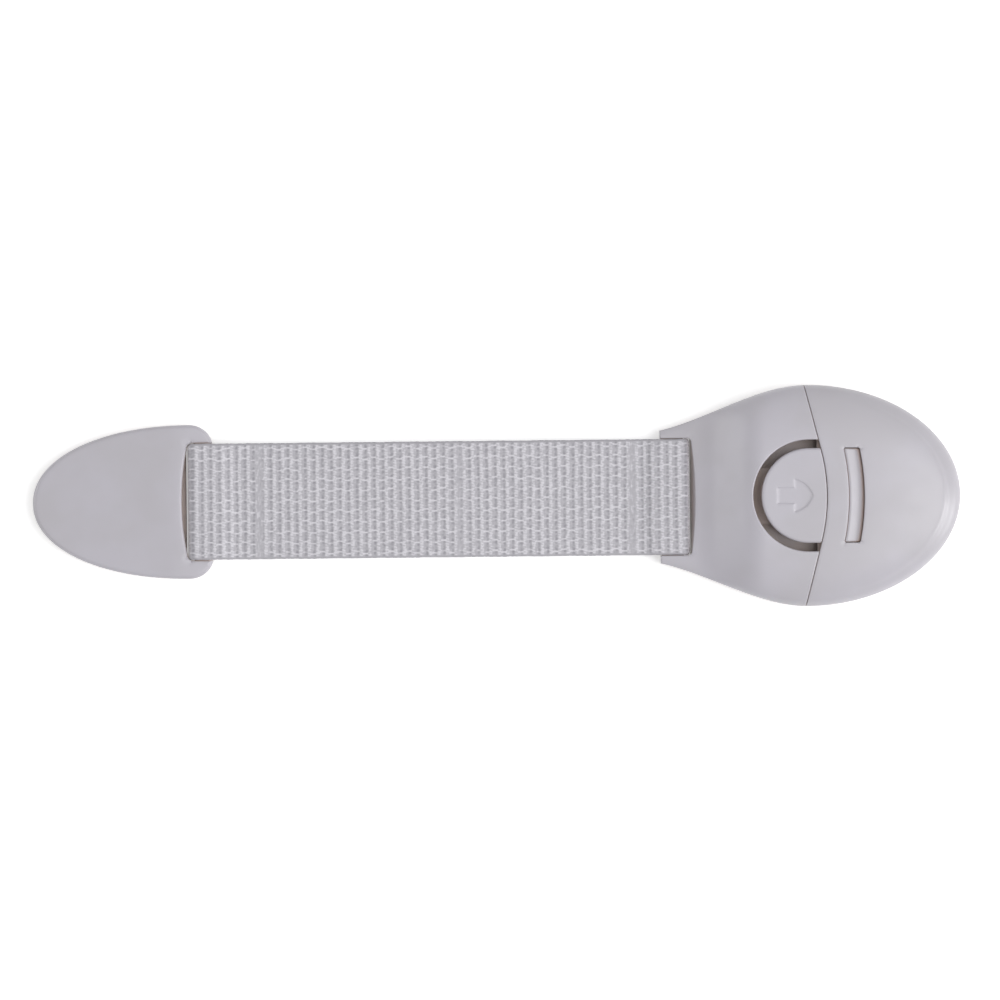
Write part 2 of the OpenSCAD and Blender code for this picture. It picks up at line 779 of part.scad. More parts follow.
module anchor_pad() {
  crease_x = pad_right_x - pad_slope_len;
  color(plastic_colour) {
    difference() {
      rounded_plate(tape_z, pad_top_z);
      translate([0, pad_w / 2 + over, 0]) rotate([90, 0, 0])
        linear_extrude(pad_w + 2 * over)
        polygon([
          [crease_x, pad_top_z],
          [crease_x, pad_top_z + over],
          [pad_right_x + over, pad_top_z + over],
          [pad_right_x + over, pad_top_z - pad_slope_drop * (1 + over / pad_slope_len)]
        ]);
      translate([0, 0, tape_z - over]) linear_extrude(pad_t + 2 * over)
        intersection() {
          translate([pad_slot_x - over, -strap_w_gap / 2])
            square([pad_right_x - pad_slot_x + 2 * over, strap_w_gap]);
          translate([pad_slot_x + pad_slot_r, 0]) circle(pad_slot_r, $fn = 240);
        }
    }
    strap_bar(pad_bar_x, pad_bar_w - bar_inset, strap_w_gap + 2 * over);
  }
}

// The pad's tape: its outline drawn in, and cut off before the slot
module pad_tape(low, h) {
  translate([0, 0, low]) linear_extrude(h) intersection() {
    polygon(pad_outline(pad_tape_inset));
    translate([pad_left_x, -pad_w / 2])
      square([pad_slot_x - pad_tape_inset - pad_left_x, pad_w]);
  }
}

module pad_foam_tape() {
  color(foam_colour) pad_tape(liner_t, tape_t);
}

module pad_tape_liner() {
  color(liner_colour) pad_tape(0, liner_t);
}

base_plate();
nose_cover();
base_foam_tape();
base_tape_liner();
latch_cover();
latch_plate();
release_tongue();
strap_latch_loop();
strap_section_1();
strap_section_2();
strap_section_3();
strap_section_4();
strap_section_5();
strap_section_6();
strap_section_7();
strap_section_8();
strap_pad_loop();
anchor_pad();
pad_foam_tape();
pad_tape_liner();
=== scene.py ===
import math
from functools import partial
import bmesh
import bpy
import numpy as np
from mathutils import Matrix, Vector
from mathutils.geometry import delaunay_2d_cdt


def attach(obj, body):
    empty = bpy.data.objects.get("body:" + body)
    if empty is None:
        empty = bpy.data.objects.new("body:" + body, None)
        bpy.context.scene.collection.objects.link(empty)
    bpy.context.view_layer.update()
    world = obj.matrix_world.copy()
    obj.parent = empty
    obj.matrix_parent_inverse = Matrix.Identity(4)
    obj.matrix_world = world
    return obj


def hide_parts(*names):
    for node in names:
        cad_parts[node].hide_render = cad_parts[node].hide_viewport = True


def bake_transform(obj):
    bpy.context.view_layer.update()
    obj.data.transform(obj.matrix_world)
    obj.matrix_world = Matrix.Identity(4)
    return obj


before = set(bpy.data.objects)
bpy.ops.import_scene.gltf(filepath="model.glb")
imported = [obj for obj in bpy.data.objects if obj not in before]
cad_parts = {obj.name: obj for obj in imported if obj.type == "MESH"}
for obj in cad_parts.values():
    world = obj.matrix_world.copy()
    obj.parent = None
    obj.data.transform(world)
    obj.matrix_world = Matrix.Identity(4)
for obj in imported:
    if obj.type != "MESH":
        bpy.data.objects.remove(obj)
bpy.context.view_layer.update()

mm = 0.001               # the shapes below are worked out in millimetres
scene = bpy.context.scene

# the camera looks straight down, far enough away for hardly any perspective
photo = {"width": 216.35, "distance": 1.6, "centreX": 0.81, "centreY": -0.28, "roll": -0.6, "sensor": 36.0,
         "clip": (0.05, 20.0)}


def addObject(name, data):
    obj = bpy.data.objects.new(name, data)
    scene.collection.objects.link(obj)
    return obj


def addCamera():
    data = bpy.data.cameras.new("photoCamera")
    data.sensor_width = photo["sensor"]
    data.lens = photo["sensor"] * photo["distance"] / (photo["width"] * mm)
    data.clip_start, data.clip_end = photo["clip"]
    cam = addObject("photoCamera", data)
    cam.location = (photo["centreX"] * mm, photo["centreY"] * mm, photo["distance"])
    cam.rotation_euler = (0.0, 0.0, math.radians(photo["roll"]))
    scene.camera = cam


addCamera()
print("camera set")


def feed(tree, socket, value):
    if isinstance(value, bpy.types.NodeSocket):
        tree.links.new(value, socket)
    else:
        socket.default_value = value


def feedAll(tree, node, inputs):
    for name, value in inputs.items():
        feed(tree, node.inputs[name], value)


def addNode(tree, kind, inputs=None, **values):
    node = tree.nodes.new(kind)
    for key, value in values.items():
        setattr(node, key, value)
    feedAll(tree, node, inputs or {})
    return node


def calc(tree, operation, a, b=None, c=None):
    node = addNode(tree, "ShaderNodeMath", operation=operation)
    for socket, value in zip(node.inputs, (a, b, c)):
        if value is not None:
            feed(tree, socket, value)
    return node.outputs[0]


def ramp(tree, value, low, high, toLow=0.0, toHigh=1.0):
    inputs = {"Value": value, "From Min": low, "From Max": high, "To Min": toLow, "To Max": toHigh}
    return addNode(tree, "ShaderNodeMapRange", inputs, interpolation_type="SMOOTHSTEP").outputs["Result"]


def noise(tree, vector, scale, detail=2.0, rough=0.5):
    inputs = {"Vector": vector, "Scale": scale, "Detail": detail, "Roughness": rough}
    return addNode(tree, "ShaderNodeTexNoise", inputs).outputs["Fac"]


def mixColour(tree, factor, a, b):
    inputs = {"Factor": factor, "A": a, "B": b}
    return addNode(tree, "ShaderNodeMix", inputs, data_type="RGBA").outputs["Result"]


def tone(screen):
    # a colour as it looks on the screen, 0 to 255, as Blender's own linear values
    share = [v / 255 for v in screen]
    return (*(v / 12.92 if v <= 0.04045 else ((v + 0.055) / 1.055) ** 2.4 for v in share), 1.0)


def newMaterial(name):
    material = bpy.data.materials.new(name)
    material.use_nodes = True
    tree = material.node_tree
    return material, tree, tree.nodes["Principled BSDF"], addNode(tree, "ShaderNodeTexCoord").outputs["Object"]


def addBump(tree, shader, height, strength, distance):
    node = addNode(tree, "ShaderNodeBump", {"Strength": strength, "Distance": distance, "Height": height})
    feed(tree, shader.inputs["Normal"], node.outputs["Normal"])


# the warm colour for enclosed plastic is a painted shade, mixed in by ambient occlusion
mouldedLook = {"colour": (190, 187, 194), "pale": (193, 190, 198), "warm": (188, 185, 191),
               "paintedGapShade": (208, 192, 184), "shadeReach": 0.006, "shadeFrom": 0.20, "shadeTo": 0.68,
               "cloud": 55.0, "speckle": 900.0, "polish": 260.0, "smooth": 0.31, "dull": 0.37, "gloss": 0.55,
               "grain": 3600.0, "grainDepth": 0.000012}


def mouldedPlastic(name, look):
    material, tree, shader, place = newMaterial(name)
    cloud = ramp(tree, noise(tree, place, look["cloud"], 3.0), 0.35, 0.65)
    speckle = ramp(tree, noise(tree, place, look["speckle"]), 0.55, 0.8, 0.0, 0.35)
    colour = mixColour(tree, cloud, tone(look["warm"]), tone(look["pale"]))
    colour = mixColour(tree, speckle, colour, tone(look["colour"]))
    # painted shade: where the ambient occlusion finds the plastic enclosed, as in the gap round the button, its
    # colour turns to a warmer tint that stands in for shade and bounced light
    shade = addNode(tree, "ShaderNodeAmbientOcclusion", {"Distance": look["shadeReach"]}, samples=8)
    clear = ramp(tree, shade.outputs["AO"], look["shadeFrom"], look["shadeTo"])
    colour = mixColour(tree, clear, tone(look["paintedGapShade"]), colour)
    polish = ramp(tree, noise(tree, place, look["polish"], 3.0), 0.3, 0.7, look["smooth"], look["dull"])
    feedAll(tree, shader, {"Base Color": colour, "Roughness": polish, "Specular IOR Level": look["gloss"]})
    addBump(tree, shader, noise(tree, place, look["grain"], 2.0, 0.6), 0.35, look["grainDepth"])
    return material


# the deep colour is painted shade for the weave's hollows, the light colour painted light for its raised ribs
webbingLook = {"light": (226, 224, 230), "mid": (187, 185, 191), "hollowShade": (158, 156, 163), "stretch": 6.0,
               "fibre": 1.6, "fibreDepth": 0.00004, "sheen": 0.15, "gloss": 0.3}


def webbingCloth(name, look):
    material, tree, shader, place = newMaterial(name)
    relief = addNode(tree, "ShaderNodeAttribute", attribute_name="relief").outputs["Fac"]
    flat = addNode(tree, "ShaderNodeUVMap", uv_map="weave").outputs["UV"]
    stretch = addNode(tree, "ShaderNodeMapping", {"Vector": flat, "Scale": (1.0, look["stretch"], 1.0)})
    fibres = noise(tree, stretch.outputs["Vector"], look["fibre"], 3.0, 0.7)
    # painted shade deep between the yarns and painted light on the raised ribs, both read from the relief, with
    # single fibres showing through
    colour = mixColour(tree, ramp(tree, relief, 0.08, 0.5), tone(look["hollowShade"]), tone(look["mid"]))
    colour = mixColour(tree, ramp(tree, relief, 0.5, 0.95), colour, tone(look["light"]))
    colour = mixColour(tree, ramp(tree, fibres, 0.35, 0.7, 0.0, 0.4), colour, tone(look["mid"]))
    feedAll(tree, shader, {"Base Color": colour, "Roughness": ramp(tree, fibres, 0.3, 0.7, 0.7, 0.9),
                           "Sheen Weight": look["sheen"], "Sheen Roughness": 0.5,
                           "Specular IOR Level": look["gloss"]})
    addBump(tree, shader, fibres, 0.6, look["fibreDepth"])
    return material


foamLook = {"light": (240, 239, 232), "dark": (205, 203, 195), "cell": 2600.0, "cellDepth": 0.00008}


def foamTape(name, look):
    material, tree, shader, place = newMaterial(name)
    cells = addNode(tree, "ShaderNodeTexVoronoi", {"Vector": place, "Scale": look["cell"]})
    # painted shade: the foam is darker in its cells' pits, where the bump sinks
    depth = ramp(tree, cells.outputs["Distance"], 0.1, 0.7)
    feedAll(tree, shader, {"Base Color": mixColour(tree, depth, tone(look["dark"]), tone(look["light"])),
                           "Roughness": ramp(tree, noise(tree, place, 700.0), 0.3, 0.7, 0.75, 0.92)})
    addBump(tree, shader, depth, 0.8, look["cellDepth"])
    return material


linerLook = {"light": (226, 224, 218), "dark": (206, 203, 196), "haze": 120.0, "wrinkle": 500.0,
             "wrinkleDepth": 0.00003}


def linerFilm(name, look):
    material, tree, shader, place = newMaterial(name)
    haze = noise(tree, place, look["haze"], 4.0, 0.6)
    colour = mixColour(tree, ramp(tree, haze, 0.3, 0.7), tone(look["dark"]), tone(look["light"]))
    feedAll(tree, shader, {"Base Color": colour, "Roughness": ramp(tree, haze, 0.3, 0.7, 0.28, 0.42)})
    addBump(tree, shader, noise(tree, place, look["wrinkle"], 3.0), 0.3, look["wrinkleDepth"])
    return material


whitePlastic = mouldedPlastic("mouldedPlastic", mouldedLook)
wovenCloth = webbingCloth("wovenWebbing", webbingLook)
foamCells = foamTape("foamTape", foamLook)
paperLiner = linerFilm("tapeLiner", linerLook)
print("finishes made")

# the forms that both halves of the head share
head = {"tipX": 100.025, "noseLen": 33.1, "flareLen": 31.55, "width": 47.7, "neckW": 28.7, "neckZ": 5.5,
        "neckRimZ": 4.6, "domeZ": 12.2, "rimZ": 6.2, "riseStart": 7.15, "riseLen": 15.5, "roof": 1.7,
        "wall": 1.7, "skirtZ": 1.42, "roll": 3.0, "flare": 0.75, "seamMid": 4.3, "seamR": 40.0,
        "seamLean": 14.0, "easeShare": 0.4, "bossSink": 0.55}
widestX = head["tipX"] - head["noseLen"]
neckX = widestX - head["flareLen"]
seamX = widestX + head["seamMid"]
seamCentreX = seamX - head["seamR"]

# spacings of the meshes' points, and how near to an edge they come
cornerStep, cutStep, roofStep = 0.12, 0.4, 1.5
cutMargin, ringThin, roofMargin = 0.2, 0.02, 0.5
ringShare, gridShare, roofShare = 0.9995, 0.9998, 0.97


def smooth(u):
    v = np.clip(u, 0.0, 1.0)
    return v * v * (3 - 2 * v)


def flareShare(u):
    v = np.clip(u, 0.0, 1.0)
    return smooth(v) + head["flare"] * v * (1 - v) ** 2


def halfWidth(x, inset=0.0):
    x = np.asarray(x, float)
    flare = flareShare((x - neckX) / head["flareLen"])
    back = head["neckW"] / 2 + (head["width"] - head["neckW"]) / 2 * flare - inset
    u = np.clip((x - widestX) / (head["noseLen"] - inset), -1.0, 1.0)
    front = (head["width"] / 2 - inset) * np.sqrt(np.maximum(0.0, 1 - u * u))
    return np.where(x < widestX, back, front)


def outShare(x, y, inset=0.0):
    # 0 on the middle line, 1 on the outline
    x, y = np.asarray(x, float), np.asarray(y, float)
    front = np.hypot(y / (head["width"] / 2 - inset), (x - widestX) / (head["noseLen"] - inset))
    return np.where(x < widestX, np.abs(y) / halfWidth(np.minimum(x, widestX - 1e-9), inset), front)


def shareOf(points, inset=0.0):
    return outShare(points[:, 0], points[:, 1], inset)


def skinZ(x, y, inset=0.0):
    u = np.clip((np.asarray(x, float) - neckX - head["riseStart"]) / head["riseLen"], 0.0, 1.0)
    ease = head["easeShare"]   # the rise eases in and out without a visible line
    s = ease * smooth(u) + (1 - ease) * u ** 3 * (10 - 15 * u + 6 * u * u)
    top = head["neckZ"] + (head["domeZ"] - head["neckZ"]) * s
    rim = head["neckRimZ"] + (head["rimZ"] - head["neckRimZ"]) * s
    r = np.minimum(outShare(x, y, inset), 1.0)
    down = head["roof"] if inset > 0 else 0.0
    return rim + (top - rim) * (1 - r ** head["roll"]) ** (1 / head["roll"]) - down


def roofZ(x, y):
    return skinZ(x, y, head["wall"])


def flatAt(z):
    return lambda x, y: np.full(len(x), z)


def seamAt(y):
    # an arc in the middle, straight where it leans back towards the sides
    lean = math.radians(head["seamLean"])
    a, b = np.abs(y), head["seamR"] * math.sin(lean)
    bow = head["seamR"] - np.sqrt(np.maximum(0.0, head["seamR"] ** 2 - np.minimum(a, b) ** 2))
    return seamX - bow - np.maximum(a - b, 0.0) * math.tan(lean)


def seamEnd(gap, inset):
    # distance from the middle line at which the seam meets the outline
    y = head["width"] / 2
    for _ in range(30):
        y = float(halfWidth(seamAt(y) - gap, inset))
    return y


# developed length across the dome, so that the mesh is as fine on its flanks as on its top
angles = np.linspace(0.0, math.pi / 2, 900)
shareTable = np.sin(angles) ** (2 / head["roll"])
liftTable = (head["domeZ"] - head["rimZ"]) / (head["width"] / 2) * np.cos(angles) ** (2 / head["roll"])
lengthTable = np.concatenate([[0.0], np.cumsum(np.hypot(np.diff(shareTable), np.diff(liftTable)))])


def spreadBy(points, k):
    x, y = points[:, 0], points[:, 1]
    return np.column_stack([np.where(x < widestX, x, widestX + (x - widestX) * k), y * k])


def unroll(points):
    r = np.clip(shareOf(points), 0.0, 1.0)
    k = np.where(r > 1e-6, np.interp(r, shareTable, lengthTable) / np.maximum(r, 1e-6), 1.0)
    return spreadBy(points, k)


def rollBack(points):
    wide = shareOf(points)
    k = np.where(wide > 1e-6, np.interp(wide, lengthTable, shareTable) / np.maximum(wide, 1e-6), 1.0)
    return spreadBy(points, np.where(wide > lengthTable[-1], 2.0, k))


def insideOf(loops, points):
    # even-odd test against every loop, so that holes count
    inside = np.zeros(len(points), bool)
    px, py = points[:, 0], points[:, 1]
    for loop in loops:
        for (x0, y0), (x1, y1) in zip(loop, np.roll(loop, -1, axis=0)):
            if y0 != y1:
                inside ^= ((y0 > py) != (y1 > py)) & (px < (x1 - x0) * (py - y0) / (y1 - y0) + x0)
    return inside


def lineDistance(points, loop):
    # distance from each point to the nearest stretch of a closed outline
    best = np.full(len(points), 1e9)
    for s, e in zip(loop, np.roll(loop, -1, axis=0)):
        d = e - s
        t = np.clip(((points - s) @ d) / max(d @ d, 1e-12), 0, 1)
        best = np.minimum(best, np.linalg.norm(points - s - t[:, None] * d, axis=1))
    return best


def roundedGap(u, v, r):
    # signed distance to a shape with corner radius r, from the distances u and v to its two pairs of sides
    u, v = u + r, v + r
    return np.hypot(np.maximum(u, 0), np.maximum(v, 0)) + np.minimum(np.maximum(u, v), 0) - r


def denseLine(points, step):
    out = []
    for a, b in zip(points[:-1], points[1:]):
        a, b = np.asarray(a, float), np.asarray(b, float)
        n = max(1, int(math.ceil(np.hypot(*(b - a)) / step)))
        out += [a + (b - a) * i / n for i in range(n)]
    return out + [np.asarray(points[-1], float)]


def arcLine(cx, cy, r, start, end, step):
    n = max(2, int(math.ceil(abs(end - start) * math.pi / 180 * r / step)))
    t = np.radians(np.linspace(start, end, n + 1))
    return list(np.column_stack([cx + r * np.cos(t), cy + r * np.sin(t)]))


def joinLines(*lines):
    out = []
    for line in lines:
        for p in line:
            if not out or np.hypot(*(np.asarray(p) - out[-1])) > 1e-6:
                out.append(np.asarray(p, float))
    if np.hypot(*(out[0] - out[-1])) < 1e-6:
        out.pop()
    return np.array(out)


def strapNotch(mouthX, centreX, wallR, corner, half, side, step=0.5):
    # from the lower end of a strap slot, round its curved wall, to the upper end
    # side is 1 for a slot that opens to the left, and -1 for one that opens to the right
    cx = centreX + side * math.sqrt((wallR - corner) ** 2 - (half - corner) ** 2)
    turn = math.degrees(math.asin((half - corner) / (wallR - corner)))
    bearing = (lambda a: a) if side > 0 else (lambda a: 180 - a)
    return joinLines(denseLine([(mouthX, -half), (cx, -half)], step),
                     arcLine(cx, corner - half, corner, bearing(-90), bearing(-turn), cornerStep),
                     arcLine(centreX, 0, wallR, bearing(-turn), bearing(turn), step),
                     arcLine(cx, half - corner, corner, bearing(turn), bearing(90), cornerStep),
                     denseLine([(cx, half), (mouthX, half)], step))


def outlineNormals(loop):
    along = np.roll(loop, -1, axis=0) - np.roll(loop, 1, axis=0)
    normal = np.column_stack([along[:, 1], -along[:, 0]])
    return normal / np.maximum(np.linalg.norm(normal, axis=1), 1e-9)[:, None]


def innerRings(loops, edgeGap, radius, steps=6):
    # rows of points beside the cut edges, close together where the edge rounding is steep
    found = []
    for k in range(1, steps + 1):
        e = radius * (1 - math.cos(math.pi / 2 * k / steps))
        for loop in loops:
            for side in (-1, 1):
                p = loop + side * e * outlineNormals(loop)
                d = edgeGap(p)
                found.append(p[(d > e * 0.94) & (d < e * 1.04 + 1e-4) & insideOf(loops, p)])
    return np.vstack(found)


def hexGrid(low, high, step):
    ys = np.arange(low[1], high[1], step * 0.866)
    gx, gy = np.meshgrid(np.arange(low[0], high[0], step), ys)
    gx = gx + (np.arange(len(ys)) % 2 * step / 2)[:, None]
    return np.column_stack([gx.ravel(), gy.ravel()])


def thinned(points, gap, fixed=()):
    # drops points that lie closer than gap to an earlier one
    cells, out = {}, []

    def near(p):
        i, j = int(p[0] // gap), int(p[1] // gap)
        around = (q for a in (i - 1, i, i + 1) for b in (j - 1, j, j + 1) for q in cells.get((a, b), ()))
        return any((q[0] - p[0]) ** 2 + (q[1] - p[1]) ** 2 < gap * gap for q in around)

    def put(p):
        cells.setdefault((int(p[0] // gap), int(p[1] // gap)), []).append((p[0], p[1]))

    for p in fixed:
        put(p)
    for p in points:
        if not near(p):
            put(p)
            out.append(p)
    return np.array(out).reshape(-1, 2)


def triangulate(loops, inner, flatten=None):
    pts = np.vstack(list(loops) + ([inner] if len(inner) else []))
    flat = flatten(pts) if flatten else pts
    edges, base = [], 0
    for loop in loops:
        n = len(loop)
        edges += [(base + i, base + (i + 1) % n) for i in range(n)]
        base += n
    got = delaunay_2d_cdt([Vector(p) for p in flat], edges, [], 0, 1e-7, True)
    source = [o[0] if o else -1 for o in got[3]]
    tris = np.array([[source[i] for i in f] for f in got[2]])
    tris = tris[(tris >= 0).all(axis=1)]
    same = {i: o[0] for o in got[3] for i in o}
    walls = {tuple(sorted((same.get(a, a), same.get(b, b)))) for a, b in edges}
    beside, group = {}, list(range(len(tris)))

    def root(i):
        while group[i] != i:
            group[i] = group[group[i]]
            i = group[i]
        return i

    for i, t in enumerate(tris.tolist()):
        for a, b in ((0, 1), (1, 2), (2, 0)):
            e = tuple(sorted((t[a], t[b])))
            if e not in walls and e in beside:
                group[root(i)] = root(beside[e])
            beside.setdefault(e, i)
    # triangles that no outline parts are inside or outside together, as the largest of them is
    corners = flat[tris]
    u, v = corners[:, 1] - corners[:, 0], corners[:, 2] - corners[:, 0]
    size = np.abs(u[:, 0] * v[:, 1] - u[:, 1] * v[:, 0])
    names = np.array([root(i) for i in range(len(tris))])
    inside = insideOf(loops, pts[tris].mean(axis=1))
    keep = np.zeros(len(tris), bool)
    for name in set(names.tolist()):
        mine = np.where(names == name)[0]
        keep[mine] = inside[mine[np.argmax(size[mine])]]
    return pts, tris[keep]


def shellMesh(outer, holes, cavity, levels, topInner, roofInner=None, flatten=None):
    # levels gives the height of the top, roof and low faces; the walls join their borders
    keys, noPoints = {}, np.zeros((0, 2))
    parts = {"top": triangulate([outer] + holes, topInner, flatten)}
    if cavity is None:
        parts["low"] = triangulate([outer] + holes, noPoints)
    else:
        parts["low"] = triangulate([outer, cavity], noPoints)
        parts["roof"] = triangulate([cavity] + holes, roofInner, flatten)
    verts, ids, faces, borders = [], {}, [], {}
    for level, (pts, tris) in parts.items():
        names = [keys.setdefault((round(float(p[0]), 4), round(float(p[1]), 4)), len(keys)) for p in pts]
        for n, p, z in zip(names, pts, levels[level](pts[:, 0], pts[:, 1])):
            if (n, level) not in ids:
                ids[(n, level)] = len(verts)
                verts.append((p[0], p[1], float(z)))
        count = {}
        for t in tris:
            q = [names[i] for i in t]
            if len(set(q)) < 3:
                continue
            faces.append([ids[(n, level)] for n in q])
            for a, b in ((0, 1), (1, 2), (2, 0)):
                e = (min(q[a], q[b]), max(q[a], q[b]))
                count[e] = count.get(e, 0) + 1
        for e, n in count.items():
            if n == 1:
                borders.setdefault(e, []).append(level)
    order = ["top", "roof", "low"]
    for (p, q), found in borders.items():
        if len(found) == 2:
            first, last = sorted(order.index(level) for level in found)
            span = order[first:last + 1]
            down = [ids[(p, s)] for s in span if (p, s) in ids]
            faces.append(down + [ids[(q, s)] for s in reversed(span) if (q, s) in ids])
    return verts, faces


def loft(rings, closed=False):
    # rings of equal count joined to one skin, with flat ends or with the last ring joined to the first
    n, m, faces = len(rings[0]), len(rings), []
    for k in range(m if closed else m - 1):
        a, b = k * n, (k + 1) % m * n
        faces += [[a + i, a + (i + 1) % n, b + (i + 1) % n, b + i] for i in range(n)]
    if not closed:
        faces += [list(range(n)), list(range((m - 1) * n, m * n))]
    return [p for ring in rings for p in ring], faces


def prism(outline, low, high, bevel, steps=3):
    # an upright prism of a closed outline, its upper and lower edges rounded by bevel
    after = np.roll(outline, -1, axis=0)
    turning = np.sum(outline[:, 0] * after[:, 1] - after[:, 0] * outline[:, 1])
    normal = outlineNormals(outline) * (1 if turning > 0 else -1)
    turns = [math.pi / 2 * k / steps for k in range(steps + 1)]
    rows = [(bevel * (1 - math.sin(t)), low + bevel * (1 - math.cos(t))) for t in turns]
    rows += [(inset, low + high - z) for inset, z in reversed(rows)]
    return loft([[(*(p - n * inset), z) for p, n in zip(outline, normal)] for inset, z in rows])


def barShell(x0, x1, z, thick, length, sides=14):
    # a flat bar along the strap's width, its edges fully round
    r = thick / 2
    quarter = math.pi / 2
    side = [(x1 - r + r * math.cos(a), z + r * math.sin(a)) for a in np.linspace(-quarter, quarter, sides)]
    side += [(x0 + r + r * math.cos(a), z + r * math.sin(a)) for a in np.linspace(quarter, 3 * quarter, sides)]
    return loft([[(x, y, zz) for x, zz in side] for y in (-length / 2, length / 2)])


def bossPosts(cover, sides=40):
    # hollow posts that end inside the skin, in pairs beside the middle line
    posts, r = [], cover["bossR"]
    rim = np.linspace(0.0, 2 * math.pi, 24)
    ring = [(math.cos(2 * math.pi * i / sides), math.sin(2 * math.pi * i / sides)) for i in range(sides)]
    for along, inward in cover["bosses"]:
        x = widestX + along
        y = float(halfWidth(x)) - inward
        low, high = cover["bossLow"], float(skinZ(x + r * np.cos(rim), y + r * np.sin(rim)).min())
        high -= head["bossSink"]
        rows = ((r, low), (r, high), (cover["bossHole"], high), (cover["bossHole"], low))
        for s in (1, -1):
            posts.append(loft([[(x + k * c, s * y + k * v, z) for c, v in ring] for k, z in rows], True))
    return posts


def buildPiece(name, shells, body, nodes, crease=32.0):
    # closed shells, in millimetres, as one plastic object whose normals point outwards
    bm = bmesh.new()
    for verts, faces in shells:
        made = [bm.verts.new([c * mm for c in v]) for v in verts]
        for f in faces:
            if len(set(f)) > 2:
                try:
                    bm.faces.new([made[i] for i in f])
                except ValueError:
                    pass
    bmesh.ops.recalc_face_normals(bm, faces=bm.faces[:])
    openEdges = sum(1 for e in bm.edges if len(e.link_faces) != 2)
    mesh = bpy.data.meshes.new(name)
    bm.to_mesh(mesh)
    bm.free()
    mesh.polygons.foreach_set("use_smooth", [True] * len(mesh.polygons))
    mesh.set_sharp_from_angle(angle=math.radians(crease))
    mesh.materials.append(whitePlastic)
    obj = addObject(name, mesh)
    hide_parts(*nodes)
    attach(obj, body)
    print(f"{name}: {len(mesh.polygons)} faces, {openEdges} open edges")


def edgeDrop(*cuts):
    # how far a surface falls towards its cut edges, each given by the distance to it and its rounding radius
    falls = []
    for gap, radius in cuts:
        d = np.clip(gap, 0.0, radius)
        falls.append(radius - np.sqrt(np.maximum(radius ** 2 - (radius - d) ** 2, 0.0)))
    return np.maximum.reduce(falls)


def seamPoints(gap, low, high, marks, step=cutStep):
    ys = np.arange(math.ceil(low / step) * step, high, step)
    ys = [y for y in ys if all(abs(y - m) > step * 0.4 for m in list(marks) + [low, high])]
    ys = sorted([low, high] + ys + [m for m in marks if low < m < high])
    return [np.array([float(seamAt(y)) - gap, y]) for y in ys]


def coverShell(outer, holes, cavity, cutGap, edge, spacing, span, roofSpan, top):
    # one half of the head's skin, meshed most finely beside its cut edges
    loops = [outer] + holes
    rings = innerRings(loops, cutGap, edge)
    rings = thinned(rings[shareOf(rings) < ringShare], ringThin, np.vstack(loops))
    grid = rollBack(hexGrid((span[0], -32), (span[1], 32), spacing))
    grid = grid[insideOf(loops, grid) & (cutGap(grid) > edge + cutMargin) & (shareOf(grid) < gridShare)]
    roof = hexGrid((roofSpan[0], -24), (roofSpan[1], 24), roofStep)
    roof = roof[insideOf([cavity] + holes, roof) & (cutGap(roof) > roofMargin)]
    roof = roof[shareOf(roof, head["wall"]) < roofShare]
    levels = {"top": top, "roof": roofZ, "low": flatAt(head["skirtZ"])}
    return shellMesh(outer, holes, cavity, levels, np.vstack([rings, grid]), roof, unroll)


latch = {"holeR": 12.0, "buttonX": 67.225, "holeEdge": 0.32, "seamEdge": 0.28, "notchEdge": 0.4,
         "neckEdge": 0.35, "seamClose": 0.15, "notchHalf": 12.62, "notchX": 42.925, "notchR": 88.0,
         "notchCorner": 0.7, "slotWall": 1.5, "barLeft": 35.575, "barRight": 40.375, "barZ": 3.3,
         "barT": 1.4, "barInPlastic": 1.0, "grid": 0.6, "lipToe": 1.6, "lipLow": 0.02, "lipHigh": 3.3,
         "bosses": ((-2.4, 5.73), (-11.4, 7.12)), "bossR": 2.35, "bossHole": 1.15, "bossLow": 4.77}
notchCentreX = latch["notchX"] - latch["notchR"]


def notchGap(x, y):
    fromWall = np.hypot(x - notchCentreX, y) - latch["notchR"]
    return roundedGap(fromWall, np.abs(y) - latch["notchHalf"], latch["notchCorner"])


def holeGap(x, y):
    return np.where(x < latch["buttonX"], np.hypot(x - latch["buttonX"], y), np.abs(y)) - latch["holeR"]


def latchSeamGap(x, y):
    return (seamAt(y) - latch["seamClose"] - x) * math.cos(math.radians(head["seamLean"]) / 2)


def latchTop(x, y):
    return skinZ(x, y) - edgeDrop((holeGap(x, y), latch["holeEdge"]), (latchSeamGap(x, y), latch["seamEdge"]),
                                  (notchGap(x, y), latch["notchEdge"]), (x - neckX, latch["neckEdge"]))


def latchCutGap(p):
    x, y = p[:, 0], p[:, 1]
    return np.minimum.reduce([holeGap(x, y), latchSeamGap(x, y), notchGap(x, y), x - neckX])


def slotLip():
    # a sloped lip along the curved wall of the strap slot
    toe, half = latch["barRight"] + latch["lipToe"], latch["notchHalf"] - 0.1
    low, high = head["skirtZ"] + latch["lipLow"], head["skirtZ"] + latch["lipHigh"]
    rings = []
    for y in np.linspace(-half, half, 31):
        wall = notchCentreX + math.sqrt(latch["notchR"] ** 2 - y * y)
        foot = min(toe, wall)
        rings.append([(wall + 0.06, y, high), (foot + (wall - foot) * 0.25, y, low + 0.5 * (high - low)),
                      (foot - 0.15, y, low), (wall + 0.6, y, low), (wall + 0.6, y, high)])
    return loft(rings)


